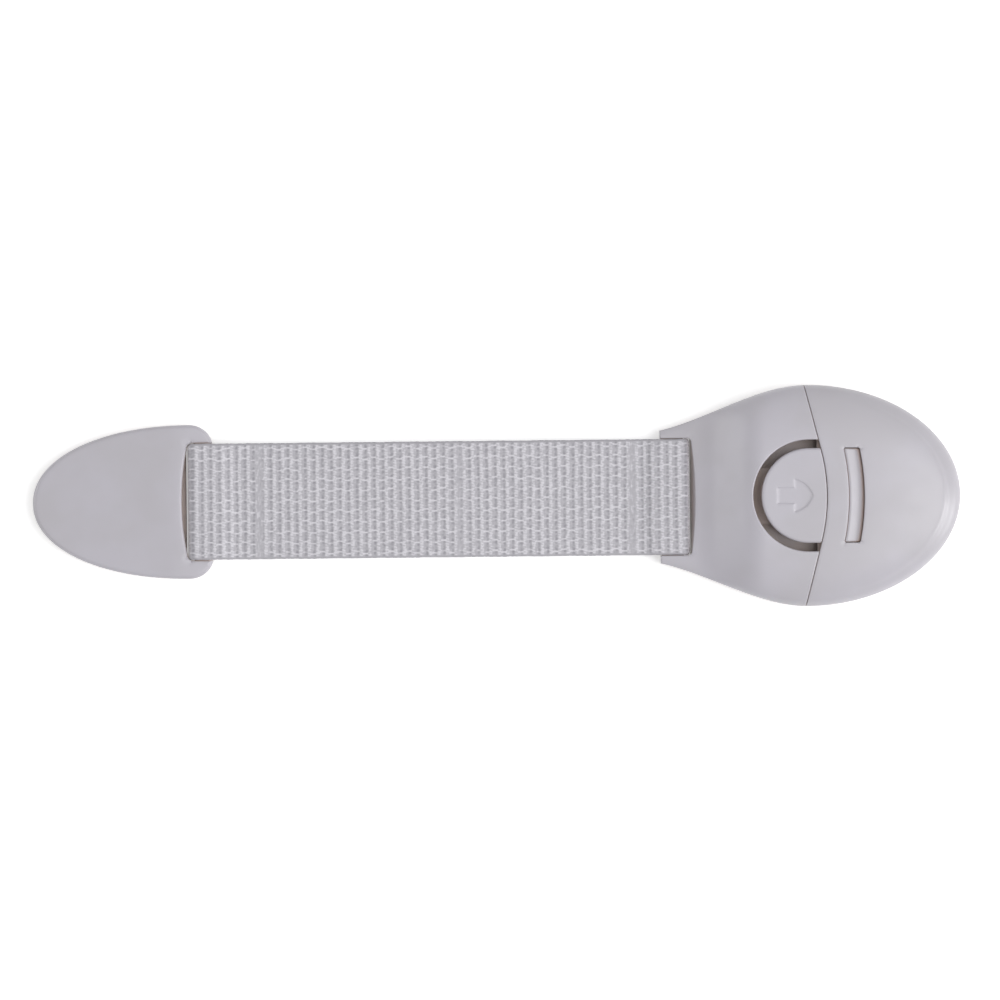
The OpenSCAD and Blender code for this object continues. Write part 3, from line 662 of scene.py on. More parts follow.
def addLatchCover():
    gap, hole, bx = latch["seamClose"], latch["holeR"], latch["buttonX"]
    wide, inner = seamEnd(gap, 0.0), seamEnd(gap, head["wall"])
    xWide, xInner = float(seamAt(wide)) - gap, float(seamAt(inner)) - gap
    cavX = latch["notchX"] + latch["slotWall"]
    side = [(x, float(halfWidth(x))) for x in np.linspace(neckX, xWide, 70)]
    side[-1] = (xWide, wide)
    innerSide = [(x, float(halfWidth(x, head["wall"]))) for x in np.linspace(cavX, xInner, 40)]
    innerSide[-1] = (xInner, inner)
    upper, lower = seamPoints(gap, hole, wide, [inner]), seamPoints(gap, -wide, -hole, [-inner])
    holeLine = joinLines(denseLine([upper[0], (bx, hole)], cutStep), arcLine(bx, 0, hole, 90, 270, cutStep),
                         denseLine([(bx, -hole), lower[-1]], cutStep))
    notch = strapNotch(neckX, notchCentreX, latch["notchR"], latch["notchCorner"], latch["notchHalf"], 1)
    outer = joinLines([(x, -y) for x, y in side], lower, holeLine[::-1], upper, side[::-1],
                      denseLine([(neckX, side[0][1]), notch[-1]], cutStep), notch[::-1],
                      denseLine([notch[0], (neckX, -side[0][1])], cutStep))
    cavity = joinLines([(x, -y) for x, y in innerSide], [p for p in lower if p[1] >= -inner - 1e-6],
                       holeLine[::-1], [p for p in upper if p[1] <= inner + 1e-6], innerSide[::-1],
                       denseLine([innerSide[0], (cavX, -innerSide[0][1])], 1.0))
    skin = coverShell(outer, [], cavity, latchCutGap, latch["holeEdge"], latch["grid"], (neckX, seamX),
                      (cavX + roofStep / 2, seamX), latchTop)
    bar = barShell(latch["barLeft"], latch["barRight"], latch["barZ"], latch["barT"],
                   2 * latch["notchHalf"] + latch["barInPlastic"])
    buildPiece("latch_cover_shell", [skin, bar, slotLip()] + bossPosts(latch), "latch", ["latch_cover"])


addLatchCover()

nose = {"slotD": 4.55, "slotW": 3.4, "slotLen": 20.4, "slotR": 48.0, "slotCorner": 0.38, "slotEdge": 0.2,
        "seamEdge": 0.24, "grid": 0.6, "close": 0.05, "lean": 0.36, "leanHalf": 11.4, "leanTop": 11.0,
        "bandShare": 0.892, "bandSoft": 0.030, "bandDrop": 0.45, "bandFrom": 5.0, "bandRun": 14.0,
        "bosses": ((21.6, 8.57),), "bossR": 2.75, "bossHole": 1.55, "bossLow": 3.07}
slotX = seamX + nose["slotD"]
slotCentreX = slotX - nose["slotR"]


def slotGap(x, y):
    half = nose["slotW"] / 2
    across = np.abs(np.hypot(x - slotCentreX, y) - nose["slotR"] - half) - half
    return roundedGap(across, np.abs(y) - nose["slotLen"] / 2, nose["slotCorner"])


def noseSeamGap(x, y):
    return (x - seamAt(y) + nose["close"]) * math.cos(math.radians(head["seamLean"]) / 2)


def noseTop(x, y):
    drop = edgeDrop((slotGap(x, y), nose["slotEdge"]), (noseSeamGap(x, y), nose["seamEdge"]))
    # a lower band follows the rim round the tip, and fades out towards the widest place
    band = smooth((outShare(x, y) - nose["bandShare"]) / nose["bandSoft"])
    band = band * smooth((x - widestX - nose["bandFrom"]) / nose["bandRun"])
    return skinZ(x, y) - drop - nose["bandDrop"] * band


def slotLine(step):
    # the slot follows two arcs about one centre, and its four corners are small rounds
    c, rc, half = slotCentreX, nose["slotCorner"], nose["slotLen"] / 2
    near, far = nose["slotR"], nose["slotR"] + nose["slotW"]
    farX, nearX = (c + math.sqrt(r ** 2 - (half - rc) ** 2) for r in (far - rc, near + rc))
    farTurn, nearTurn = (math.degrees(math.asin((half - rc) / r)) for r in (far - rc, near + rc))
    return joinLines(arcLine(c, 0, far, -farTurn, farTurn, step),
                     arcLine(farX, half - rc, rc, farTurn, 90, cornerStep),
                     denseLine([(farX, half), (nearX, half)], step),
                     arcLine(nearX, half - rc, rc, 90, 180 + nearTurn, cornerStep),
                     arcLine(c, 0, near, nearTurn, -nearTurn, step),
                     arcLine(nearX, rc - half, rc, 180 - nearTurn, 270, cornerStep),
                     denseLine([(nearX, -half), (farX, -half)], step),
                     arcLine(farX, rc - half, rc, -90, -farTurn, cornerStep))


def noseCutGap(p):
    return np.minimum(slotGap(p[:, 0], p[:, 1]), noseSeamGap(p[:, 0], p[:, 1]))


def noseRim(start, inset, count):
    # the outline from the lower end of the seam, round the tip, to its upper end
    a, b = head["noseLen"] - inset, head["width"] / 2 - inset
    line = [(widestX + a * math.cos(u), b * math.sin(u)) for u in np.linspace(-math.pi / 2, math.pi / 2, count)]
    x0 = float(seamAt(start)) - nose["close"]
    return [(x0, -start)] + [p for p in line if p[0] > x0 + cutMargin] + [(x0, start)]


def addNoseCover():
    wide, inner = seamEnd(nose["close"], 0.0), seamEnd(nose["close"], head["wall"])
    seam = seamPoints(nose["close"], -wide, wide, [inner, -inner])
    outer = joinLines(noseRim(wide, 0.0, 180), seam[::-1])
    cavity = joinLines(noseRim(inner, head["wall"], 90), [p for p in seam[::-1] if abs(p[1]) <= inner + 1e-6])
    verts, faces = coverShell(outer, [slotLine(cutStep)], cavity, noseCutGap, nose["slotEdge"], nose["grid"],
                              (seamX - 8, seamX + 45), (seamX - 6, seamX + 34), noseTop)

    def leans(x, y, z):
        # beside the button the seam face leans back, so that the button clears it when pressed
        onSeam = abs(x - float(seamAt(y)) + nose["close"]) < 1e-3
        return onSeam and abs(y) < nose["leanHalf"] and z < nose["leanTop"]

    verts = [(x + nose["lean"], y, z) if leans(x, y, z) else (x, y, z) for x, y, z in verts]
    buildPiece("nose_cover_shell", [(verts, faces)] + bossPosts(nose), "base", ["nose_cover"])


addNoseCover()

tongue = {"buttonR": 10.2, "gap": 0.16, "sink": 0.05, "wall": 1.5, "lowZ": 6.6, "edge": 0.55, "frontEdge": 0.25,
          "innerRoof": 10.45, "grid": 0.45, "thick": 1.4, "armW": 12.0, "rootX": 51.225, "rootZ": 5.6,
          "plateTop": 9.4, "plateW": 24.6, "plateBack": 2.2, "plateLen": 11.1, "plateCorner": 4.0,
          "shelfR": 12.25, "shelfTop": 6.3, "shelfThick": 0.9, "ridgeGap": 0.07, "ridgeEnd": 0.2,
          "ridgeTop": 1.0, "ridgeRamp": 2.22, "ridgeZ": 11.75, "ridgeLow": 10.6, "ridgeSoft": 0.22,
          "ridgeRootZ": 8.7, "ridgeWaist": 9.6, "plateEdge": 0.2, "shelfEdge": 0.15, "shelfBack": 0.5}
arrow = {"tailX": 60.45, "neckX": 64.1, "tipX": 68.0, "stem": 1.72, "head": 3.5, "bow": 0.75, "depth": 0.16,
         "edge": 0.34}


def frontGap(x, y):
    return head["seamR"] - tongue["gap"] - np.hypot(x - seamCentreX, y)


def sideGap(x, y):
    return tongue["buttonR"] - np.where(x < latch["buttonX"], np.hypot(x - latch["buttonX"], y), np.abs(y))


def buttonGap(p):
    return np.minimum(frontGap(p[:, 0], p[:, 1]), sideGap(p[:, 0], p[:, 1]))


def buttonLine(inset, step):
    r, front, bx = tongue["buttonR"] - inset, head["seamR"] - tongue["gap"] - inset, latch["buttonX"]
    turn = math.degrees(math.asin(r / front))
    x1 = seamCentreX + math.sqrt(front ** 2 - r ** 2)
    return joinLines(arcLine(seamCentreX, 0, front, -turn, turn, step), denseLine([(x1, r), (bx, r)], step),
                     arcLine(bx, 0, r, 90, 270, step), denseLine([(bx, -r), (x1, -r)], step))


def arrowLine():
    # a plain arrow whose head has two bowed sides
    a, up = arrow, []
    for i in range(17):
        t = i / 16
        out = a["bow"] * math.sin(math.pi * t) ** 0.8
        up.append((a["neckX"] + (a["tipX"] - a["neckX"]) * t + out * 0.67, a["head"] * (1 - t) + out * 0.74))
    top = [(a["tailX"], a["stem"]), (a["neckX"], a["stem"])] + up
    return joinLines(top, [(x, -y) for x, y in reversed(top)])


def arrowGap(p):
    # signed distance to the arrow's outline, positive inside
    loop = arrowLine()
    best = lineDistance(p, loop)
    return np.where(insideOf([loop], p), best, -best)


def buttonTop(x, y):
    drop = edgeDrop((sideGap(x, y), tongue["edge"]), (frontGap(x, y), tongue["frontEdge"]))
    lift = smooth(0.5 + arrowGap(np.column_stack([x, y])) / arrow["edge"])
    return skinZ(x, y) - tongue["sink"] - drop - arrow["depth"] * lift


def buttonShell():
    outer, cavity = buttonLine(0.0, 0.35), buttonLine(tongue["wall"], 0.8)
    rings = thinned(innerRings([outer], buttonGap, tongue["edge"], 7), ringThin, outer)
    loop = arrowLine()
    closed = np.array(denseLine(list(loop) + [loop[0]], 0.25)[:-1])
    shifts = (-0.5, -0.25, 0.0, 0.25, 0.5)
    marks = thinned(np.vstack([closed + outlineNormals(closed) * s * arrow["edge"] for s in shifts]), 0.045)
    grid = hexGrid((56, -11), (72, 11), tongue["grid"])
    grid = grid[insideOf([outer], grid) & (buttonGap(grid) > tongue["edge"] + 0.15)]
    grid = grid[np.abs(arrowGap(grid)) > arrow["edge"]]
    levels = {"top": buttonTop, "roof": flatAt(tongue["innerRoof"]), "low": flatAt(tongue["lowZ"])}
    roof = hexGrid((57, -9), (70, 9), 2.0)
    roof = roof[insideOf([cavity], roof)]
    return shellMesh(outer, [], cavity, levels, np.vstack([rings, marks, grid]), roof)


def catchRidge():
    # a curved ridge with a steep face towards the button and a ramp towards the tip
    t, soft = tongue, tongue["ridgeSoft"]
    top, low = t["ridgeZ"], t["ridgeLow"]
    r0 = nose["slotR"] + t["ridgeGap"]
    r1, r2 = r0 + t["ridgeTop"], r0 + t["ridgeTop"] + t["ridgeRamp"]
    profile = [(r0, t["ridgeRootZ"]), (r0, top - soft), (r0 + 0.3 * soft, top - 0.3 * soft), (r0 + soft, top),
               (r1 - 2 * soft, top - 0.02), (r1 - soft, top - 0.06), (r1, top - 0.14)]
    fall = top - 0.14 - low
    for k in range(1, 10):
        profile.append((r1 + (r2 - r1) * k / 9, low + fall * (1 - 0.6 * (k / 9) - 0.4 * (k / 9) ** 4)))
    profile += [(r2 - 0.06, low - 0.4), (r2 - 0.4, t["ridgeRootZ"])]
    half, middle, waist = nose["slotLen"] / 2 - t["ridgeEnd"], (r0 + r2) / 2, t["ridgeWaist"]
    lowEnd, highEnd = [-half, -half + 0.08, -half + 0.2], [half - 0.2, half - 0.08, half]
    rings = []
    for y in lowEnd + list(np.linspace(-half, half, 41)[1:-1]) + highEnd:
        k = 1 - 0.08 * max(0.0, 1 - (half - abs(y)) / 0.2) ** 2      # the two ends are a little smaller
        ring = [(middle + (r - middle) * k, waist + (z - waist) * k if z > waist else z) for r, z in profile]
        rings.append([(slotCentreX + math.sqrt(r ** 2 - y ** 2), y, z) for r, z in ring])
    return loft(rings)


def springArm():
    # a flat arm from its rounded root in the latch up to the button
    t, r = tongue, tongue["thick"] / 2
    run = latch["buttonX"] - t["buttonR"] + t["wall"] / 2 - t["rootX"]
    up = t["lowZ"] + r - t["rootZ"]
    rise, reach = math.atan2(up, run), math.hypot(run, up) + 2 * t["wall"]
    side = [(r * math.cos(a), r * math.sin(a)) for a in np.linspace(math.pi / 2, 3 * math.pi / 2, 15)]
    c, s = math.cos(rise), math.sin(rise)
    side += [(reach, -r), (reach, r)]
    side = [(t["rootX"] + u * c - w * s, t["rootZ"] + u * s + w * c) for u, w in side]
    return loft([[(x, y, z) for x, z in side] for y in (-t["armW"] / 2, t["armW"] / 2)])


def addTongue():
    t = tongue
    x0, x1, half, rc = seamX - t["plateBack"], seamX + t["plateLen"], t["plateW"] / 2, t["plateCorner"]
    plate = joinLines(arcLine(x1 - rc, half - rc, rc, 0, 90, cutStep), [(x0, half), (x0, -half)],
                      arcLine(x1 - rc, rc - half, rc, -90, 0, cutStep))
    shelf = joinLines(arcLine(latch["buttonX"], 0, t["shelfR"], 90, 270, 0.5),
                      [(x0 + t["shelfBack"], -t["shelfR"]), (x0 + t["shelfBack"], t["shelfR"])])
    shells = [buttonShell(), prism(plate, t["plateTop"] - t["thick"], t["plateTop"], t["plateEdge"]),
              prism(shelf, t["shelfTop"] - t["shelfThick"], t["shelfTop"], t["shelfEdge"]), catchRidge(),
              springArm()]
    buildPiece("release_button_and_catch", shells, "tongue", ["release_tongue"])


addTongue()

pad = {"rightX": -61.125, "len": 38.9, "width": 33.2, "lowZ": 1.12, "topZ": 4.72, "corner": 5.0, "leaf": 2.1,
       "edge": 0.9, "slopeLen": 8.0, "slopeDrop": 0.5, "crease": 1.2, "slotX": -67.875, "slotR": 60.0,
       "slotHalf": 12.62, "slotCorner": 0.8, "slotEdge": 0.45, "barLeft": -65.225, "barRight": -61.325,
       "barZ": 3.3, "barT": 1.4, "barInPlastic": 1.0, "ledgeLeft": 0.8, "ledgeRight": 0.95, "ledgeT": 0.6,
       "ledgeInPlastic": 0.6, "grid": 0.8}
padCornerX = pad["rightX"] - pad["corner"]
padSlotCentreX = pad["slotX"] + pad["slotR"]


def padOutline(inset, count=150):
    # the leaf's curved back with its lower corner, and its upper corner
    half, r, q = pad["width"] / 2 - inset, pad["corner"] - inset, 2 / pad["leaf"]
    leaf = padCornerX - (pad["rightX"] - pad["len"]) - inset
    a = np.radians(np.linspace(90, 270, count))
    c, s = np.abs(np.cos(a)), np.abs(np.sin(a))
    back = list(np.column_stack([padCornerX - leaf * c ** q, np.sign(np.sin(a)) * half * s ** q]))
    return (joinLines(back, arcLine(padCornerX, r - half, r, -90, 0, 0.35)),
            joinLines(arcLine(padCornerX, half - r, r, 0, 90, 0.35), [back[0]]))


def padCutGap(p):
    x, y = p[:, 0], np.abs(p[:, 1])
    inSlot = roundedGap(np.hypot(x - padSlotCentreX, y) - pad["slotR"], y - pad["slotHalf"], pad["slotCorner"])
    return np.where(x < pad["slotX"] + 8, inSlot, y - pad["slotHalf"])


def padRounds(steps=8):
    # rows of points over the rounded rim, and over the straight ends beside the slot
    found = []
    for k in range(1, steps + 1):
        e = pad["edge"] * (1 - math.cos(math.pi / 2 * k / steps))
        found.append(joinLines(*padOutline(e)))
        ys = np.arange(pad["slotHalf"] + 0.1, pad["width"] / 2 - pad["corner"], cutStep)
        found += [np.array([(pad["rightX"] - e, s * y) for y in ys]).reshape(-1, 2) for s in (1, -1)]
    return np.vstack(found)


def addPad():
    low, high = padOutline(0.0)
    notch = strapNotch(pad["rightX"], padSlotCentreX, pad["slotR"], pad["slotCorner"], pad["slotHalf"], -1)
    half = pad["slotHalf"]
    edgeX = padCornerX + math.sqrt(pad["corner"] ** 2 - (half - pad["width"] / 2 + pad["corner"]) ** 2)
    low = np.vstack([[p for p in low if p[0] < padCornerX or p[1] < -half - 0.1], [(edgeX, -half)]])
    high = np.vstack([[(edgeX, half)], [p for p in high if p[0] < padCornerX or p[1] > half + 0.1]])
    notch[0], notch[-1] = low[-1], high[0]
    outer, rim = joinLines(low, notch, high), joinLines(low, high)
    rimGap = partial(lineDistance, loop=rim)

    def top(x, y):
        # a shallow slope towards the strap, and rounded edges
        p, soft = np.column_stack([x, y]), pad["crease"]
        u = x - pad["rightX"] + pad["slopeLen"]
        run = np.where(u < -soft, 0.0, np.where(u > soft, u, (u + soft) ** 2 / (4 * soft)))
        drop = edgeDrop((rimGap(p), pad["edge"]), (padCutGap(p), pad["slotEdge"]))
        return pad["topZ"] - pad["slopeDrop"] / pad["slopeLen"] * run - drop

    slotRings = innerRings([outer], padCutGap, pad["slotEdge"])
    slotRings = slotRings[rimGap(slotRings) > 0.03]
    rounds = padRounds()
    rounds = rounds[insideOf([outer], rounds) & (padCutGap(rounds) > 0.02)]
    grid = hexGrid((pad["rightX"] - pad["len"], -17), (pad["rightX"], 17), pad["grid"])
    grid = grid[insideOf([outer], grid) & (rimGap(grid) > pad["edge"] + cutMargin)]
    grid = grid[padCutGap(grid) > pad["slotEdge"] + 0.25]
    inner = thinned(np.vstack([slotRings, rounds, grid]), 0.012, outer)
    plate = shellMesh(outer, [], None, {"top": top, "low": flatAt(pad["lowZ"])}, inner)
    bar = barShell(pad["barLeft"], pad["barRight"], pad["barZ"], pad["barT"], 2 * half + pad["barInPlastic"])
    ledge = barShell(pad["slotX"] - pad["ledgeLeft"], pad["slotX"] + pad["ledgeRight"],
                     pad["lowZ"] + pad["ledgeT"] / 2, pad["ledgeT"],
                     2 * half + pad["ledgeInPlastic"])
    buildPiece("anchor_pad_plate", [plate, bar, ledge], "pad", ["anchor_pad"])


addPad()

# one loop of webbing; each weld is its place along the lock and how far it is fused,
# and each wander of the edges is its size, its rate along the loop and its start
strap = {"width": 25.0, "thick": 1.2, "gap": 0.15, "barT": 1.4, "midZ": 3.3, "neckBarX": 39.675,
         "padBarX": -64.525, "neckReach": 3.1, "padReach": 4.5, "firstBend": -55.425, "lastBend": 31.675,
         "bends": 9, "bendHalf": 2.9, "ribPitch": 1.87, "rowPitch": 2.26, "rowsOfYarn": 4, "relief": 0.13,
         "samples": 10, "selvedge": 0.45, "selvedgeSoft": 0.3, "edgeThin": 0.1, "edgeRise": 2.2, "edgeRun": 1.2,
         "wander": ((0.03, 0.61, 0.0), (0.02, 1.37, 1.0)), "ribSway": 0.03,
         "welds": ((-51.125, 1.0), (-8.025, 0.5), (29.375, 1.0)), "weldWidth": 0.95}


def layerHalf(x):
    # the layers lie on each other between the plastic parts, and open round the two bars
    nearHead = smooth((x - strap["lastBend"]) / strap["neckReach"])
    nearPad = smooth((strap["firstBend"] - x) / strap["padReach"])
    return strap["thick"] / 2 + (strap["barT"] / 2 + strap["gap"]) * (nearHead + nearPad)


def strapPath():
    # the loop's middle line, from the pad's bar along the upper layer to the head's bar and back
    r, mid = strap["barT"] / 2 + strap["gap"] + strap["thick"] / 2, strap["midZ"]
    xs = np.linspace(strap["padBarX"], strap["neckBarX"], 2600)
    t = np.linspace(math.pi / 2, -math.pi / 2, 120)[1:-1]
    up = np.column_stack([xs, mid + layerHalf(xs)])
    headTurn = np.column_stack([strap["neckBarX"] + r * np.cos(t), mid + r * np.sin(t)])
    down = np.column_stack([xs[::-1], mid - layerHalf(xs[::-1])])
    padTurn = np.column_stack([strap["padBarX"] - r * np.cos(t), mid - r * np.sin(t)])
    line = np.vstack([up, headTurn, down, padTurn, up[:1]])
    run = np.concatenate([[0.0], np.cumsum(np.linalg.norm(np.diff(line, axis=0), axis=1))])
    downAt = len(up) + len(headTurn)
    return line, run, run[len(up) - 1], run[downAt], run[downAt + len(down) - 1]


pathLine, pathRun, upEnd, downStart, downEnd = strapPath()
loopLen = pathRun[-1]
ribPitch = float(loopLen / round(loopLen / strap["ribPitch"]))


def runAt(x, lower):
    # distance along the loop at which a layer passes x
    if lower:
        keep = (pathRun >= downStart) & (pathRun <= downEnd)
        return float(np.interp(-x, -pathLine[keep, 0], pathRun[keep]))
    keep = pathRun <= upEnd
    return float(np.interp(x, pathLine[keep, 0], pathRun[keep]))


def loopAt(s):
    w = np.mod(s, loopLen)
    return np.interp(w, pathRun, pathLine[:, 0]), np.interp(w, pathRun, pathLine[:, 1])


def strapRing():
    # the cross-section: places across, heights, and how much of the weave's relief each point gets
    half, thick = strap["width"] / 2, strap["thick"] / 2
    base, edge = thick - strap["relief"], thick - strap["edgeThin"]
    count = int(round((2 * half - 2 * edge) / (strap["rowPitch"] / strap["rowsOfYarn"] / 4)))
    vs = np.linspace(-half + edge, half - edge, count + 1)
    soft = strap["selvedgeSoft"]
    lift = smooth((half - strap["selvedge"] + soft / 2 - np.abs(vs)) / soft)
    outH = base + (edge - base) * smooth((np.abs(vs) - half + strap["edgeRise"]) / strap["edgeRun"])
    turn = np.linspace(math.pi / 2, -math.pi / 2, 9)[1:-1]
    inV = np.linspace(half - edge, -half + edge, 26)
    ringV = np.concatenate([vs, half - edge + edge * np.cos(turn), inV, -half + edge - edge * np.cos(turn)])
    ringH = np.concatenate([outH, edge * np.sin(turn), np.full(len(inV), -edge), -edge * np.sin(turn)])
    return ringV, ringH, np.concatenate([lift, np.zeros(2 * len(turn) + len(inV))])


def strapSlab(start, end):
    # one run of webbing: rows along it, each a closed ring with a finely divided outer face
    step = ribPitch / strap["samples"]
    inner = np.arange(math.ceil(start / step + 0.35), math.floor(end / step - 0.35) + 1) * step
    s = np.concatenate([[start], inner, [end]])
    (x, z), (x1, z1), (x0, z0) = loopAt(s), loopAt(s + 0.02), loopAt(s - 0.02)
    k = np.hypot(x1 - x0, z1 - z0)
    nx, nz = (z0 - z1) / k, (x1 - x0) / k
    ringV, ringH, ringL = strapRing()
    n, m = len(ringV), len(s)
    # the edges wander a little, and draw in between the ribs
    wander = sum(size * np.sin(s * rate + shift) for size, rate, shift in strap["wander"])
    wander = wander + strap["ribSway"] * np.cos(2 * math.pi * s / ribPitch)
    wide = 1 + wander[:, None] / (strap["width"] / 2) * np.ones(n)
    rows = [x[:, None] + np.outer(nx, ringH), ringV * wide, z[:, None] + np.outer(nz, ringH)]
    lift = [np.outer(nx, ringL), np.zeros((m, n)), np.outer(nz, ringL)]
    weld = np.zeros(m)
    for c, fused in strap["welds"]:
        weld = np.maximum(weld, fused * np.exp(-np.abs((x - c) / strap["weldWidth"]) ** 4))
    a, i = np.meshgrid(np.arange(m - 1) * n, np.arange(n), indexing="ij")
    j = (i + 1) % n
    faces = np.stack([a + i, a + j, a + n + j, a + n + i], axis=2).reshape(-1, 4).tolist()
    faces += [list(range(n))[::-1], list(range((m - 1) * n, m * n))]
    return {"co": np.stack(rows, axis=2).reshape(-1, 3), "along": np.repeat(s, n), "across": np.tile(ringV, m),
            "lift": np.stack(lift, axis=2).reshape(-1, 3), "weld": np.repeat(weld, n)}, faces


weave = {"Rib Pitch": ribPitch, "Row Pitch": strap["rowPitch"],
         "Yarn Pitch": strap["rowPitch"] / strap["rowsOfYarn"], "Relief": strap["relief"], "Rib Core": 0.10,
         "Rib Edge": 0.28, "Rib Share": 0.91, "Yarn Share": 0.24, "Cell Share": 0.44, "Cell Yarn": 0.10,
         "Row Share": 0.86, "Row Spread": 0.36, "Row Core": 0.03, "Row Edge": 0.13, "Stagger": 0.2,
         "Pit Place": 0.60, "Pit Share": 0.42, "Unevenness": 1.1, "Slant": 0.7, "Loose": 0.16, "Shaky": 0.13,
         "Selvedge Share": 0.34, "Uneven Scale": 1900.0, "Loose Scale": 90.0, "Shaky Scale": 650.0,
         "Pit Low": 0.70, "Pit High": 0.98, "Pit Near": 0.18, "Pit Far": 0.40, "Pit Least": 0.35,
         "Weld Share": 0.8, "Weld Height": 0.55, "Streak Along": 3.2, "Streak Across": 0.55,
         "Streak Share": 1.5, "Streak Unevenness": 0.5}


def weaveTree():
    # lifts the outer face into ribs across the strap, thin threads between them and pits beside the threads
    tree = bpy.data.node_groups.new("webbingWeave", "GeometryNodeTree")
    add, less, times, over = (partial(calc, tree, kind) for kind in ("ADD", "SUBTRACT", "MULTIPLY", "DIVIDE"))
    slope = partial(ramp, tree)
    face = tree.interface
    face.new_socket(name="Geometry", in_out="INPUT", socket_type="NodeSocketGeometry")
    for name, value in weave.items():
        face.new_socket(name=name, in_out="INPUT", socket_type="NodeSocketFloat").default_value = value
    face.new_socket(name="Material", in_out="INPUT", socket_type="NodeSocketMaterial")
    face.new_socket(name="Geometry", in_out="OUTPUT", socket_type="NodeSocketGeometry")
    start = addNode(tree, "NodeGroupInput").outputs

    def read(name, kind="FLOAT"):
        node = addNode(tree, "GeometryNodeInputNamedAttribute", {"Name": name}, data_type=kind)
        return node.outputs["Attribute"]

    def wave(value):
        # 1 at whole numbers, 0 halfway between them
        return calc(tree, "MULTIPLY_ADD", calc(tree, "COSINE", times(value, 2 * math.pi)), 0.5, 0.5)

    def fromWhole(value):
        return less(value, calc(tree, "ROUND", value))

    def blendTo(a, b, factor):
        return add(times(a, less(1.0, factor)), times(b, factor))

    def pair(x, y):
        return addNode(tree, "ShaderNodeCombineXYZ", {"X": x, "Y": y}).outputs["Vector"]

    def wobble(vector, scale, detail):
        return less(noise(tree, vector, scale, detail), 0.5)

    along, across, weld = read("along"), read("across"), read("weld")
    place = addNode(tree, "GeometryNodeInputPosition").outputs[0]
    uneven = wobble(place, start["Uneven Scale"], 2.0)
    loose = times(wobble(place, start["Loose Scale"], 1.0), start["Loose"])
    shaky = times(wobble(place, start["Shaky Scale"], 1.0), start["Shaky"])
    ribs = add(over(along, start["Rib Pitch"]), add(loose, shaky))
    near = fromWhole(ribs)
    rib = slope(calc(tree, "ABSOLUTE", near), start["Rib Core"], start["Rib Edge"], 1.0, 0.0)
    yarn = wave(add(over(across, start["Yarn Pitch"]), times(near, start["Slant"])))
    # from one column to the next the threads between the ribs step to and fro across the strap
    column = calc(tree, "FLOOR", ribs)
    odd = less(calc(tree, "PINGPONG", column, 1.0), 0.5)
    rows = add(add(over(across, start["Row Pitch"]), times(shaky, 0.5)), times(odd, start["Stagger"]))
    fromRow = calc(tree, "ABSOLUTE", fromWhole(rows))
    row = slope(fromRow, start["Row Core"], start["Row Edge"], 1.0, 0.0)
    pit = times(slope(wave(less(ribs, start["Pit Place"])), start["Pit Low"], start["Pit High"]),
                slope(fromRow, start["Pit Near"], start["Pit Far"], 1.0, start["Pit Least"]))
    cell = calc(tree, "MULTIPLY_ADD", yarn, start["Cell Yarn"], start["Cell Share"])
    cell = less(cell, times(pit, start["Pit Share"]))
    spot = {"Vector": pair(column, calc(tree, "ROUND", rows))}
    chance = addNode(tree, "ShaderNodeTexWhiteNoise", spot, noise_dimensions="2D")
    thread = calc(tree, "MULTIPLY_ADD", chance.outputs["Value"], start["Row Spread"],
                  less(start["Row Share"], times(start["Row Spread"], 0.5)))
    onRib = calc(tree, "MULTIPLY_ADD", yarn, start["Yarn Share"], less(start["Rib Share"], start["Yarn Share"]))
    share = blendTo(blendTo(cell, thread, row), onRib, rib)
    share = add(share, times(uneven, start["Unevenness"]))
    # at a weld the yarns are fused to a flatter, streaky band
    streaks = wobble(pair(times(along, start["Streak Along"]), times(across, start["Streak Across"])), 1.0, 2.0)
    rough = add(times(streaks, start["Streak Share"]), times(uneven, start["Streak Unevenness"]))
    fused = add(start["Weld Height"], rough)
    share = calc(tree, "MINIMUM", blendTo(share, fused, times(weld, start["Weld Share"])), 1.0)
    lift = read("lift", "FLOAT_VECTOR")
    amount = addNode(tree, "ShaderNodeVectorMath", {"Vector": lift}, operation="LENGTH").outputs["Value"]
    # the relief is stored for the webbing's material, which paints shade in the hollows and light on the ribs
    # from it
    store = addNode(tree, "GeometryNodeStoreNamedAttribute", {"Name": "relief"}, data_type="FLOAT",
                    domain="POINT")
    shown = blendTo(start["Selvedge Share"], share, amount)
    feed(tree, [s for s in store.inputs if s.name == "Value" and s.enabled][0], shown)
    rise = times(times(share, start["Relief"]), mm)
    offset = addNode(tree, "ShaderNodeVectorMath", {"Vector": lift, "Scale": rise}, operation="SCALE")
    move = addNode(tree, "GeometryNodeSetPosition", {"Offset": offset.outputs["Vector"]})
    real = addNode(tree, "GeometryNodeRealizeInstances")
    paint = addNode(tree, "GeometryNodeSetMaterial", {"Material": start["Material"]})
    end, flow = addNode(tree, "NodeGroupOutput"), start["Geometry"]
    for node in (store, move, real, paint, end):
        tree.links.new(flow, node.inputs["Geometry"])
        flow = node.outputs["Geometry"] if node != end else None
    return tree


weaveNodes = weaveTree()


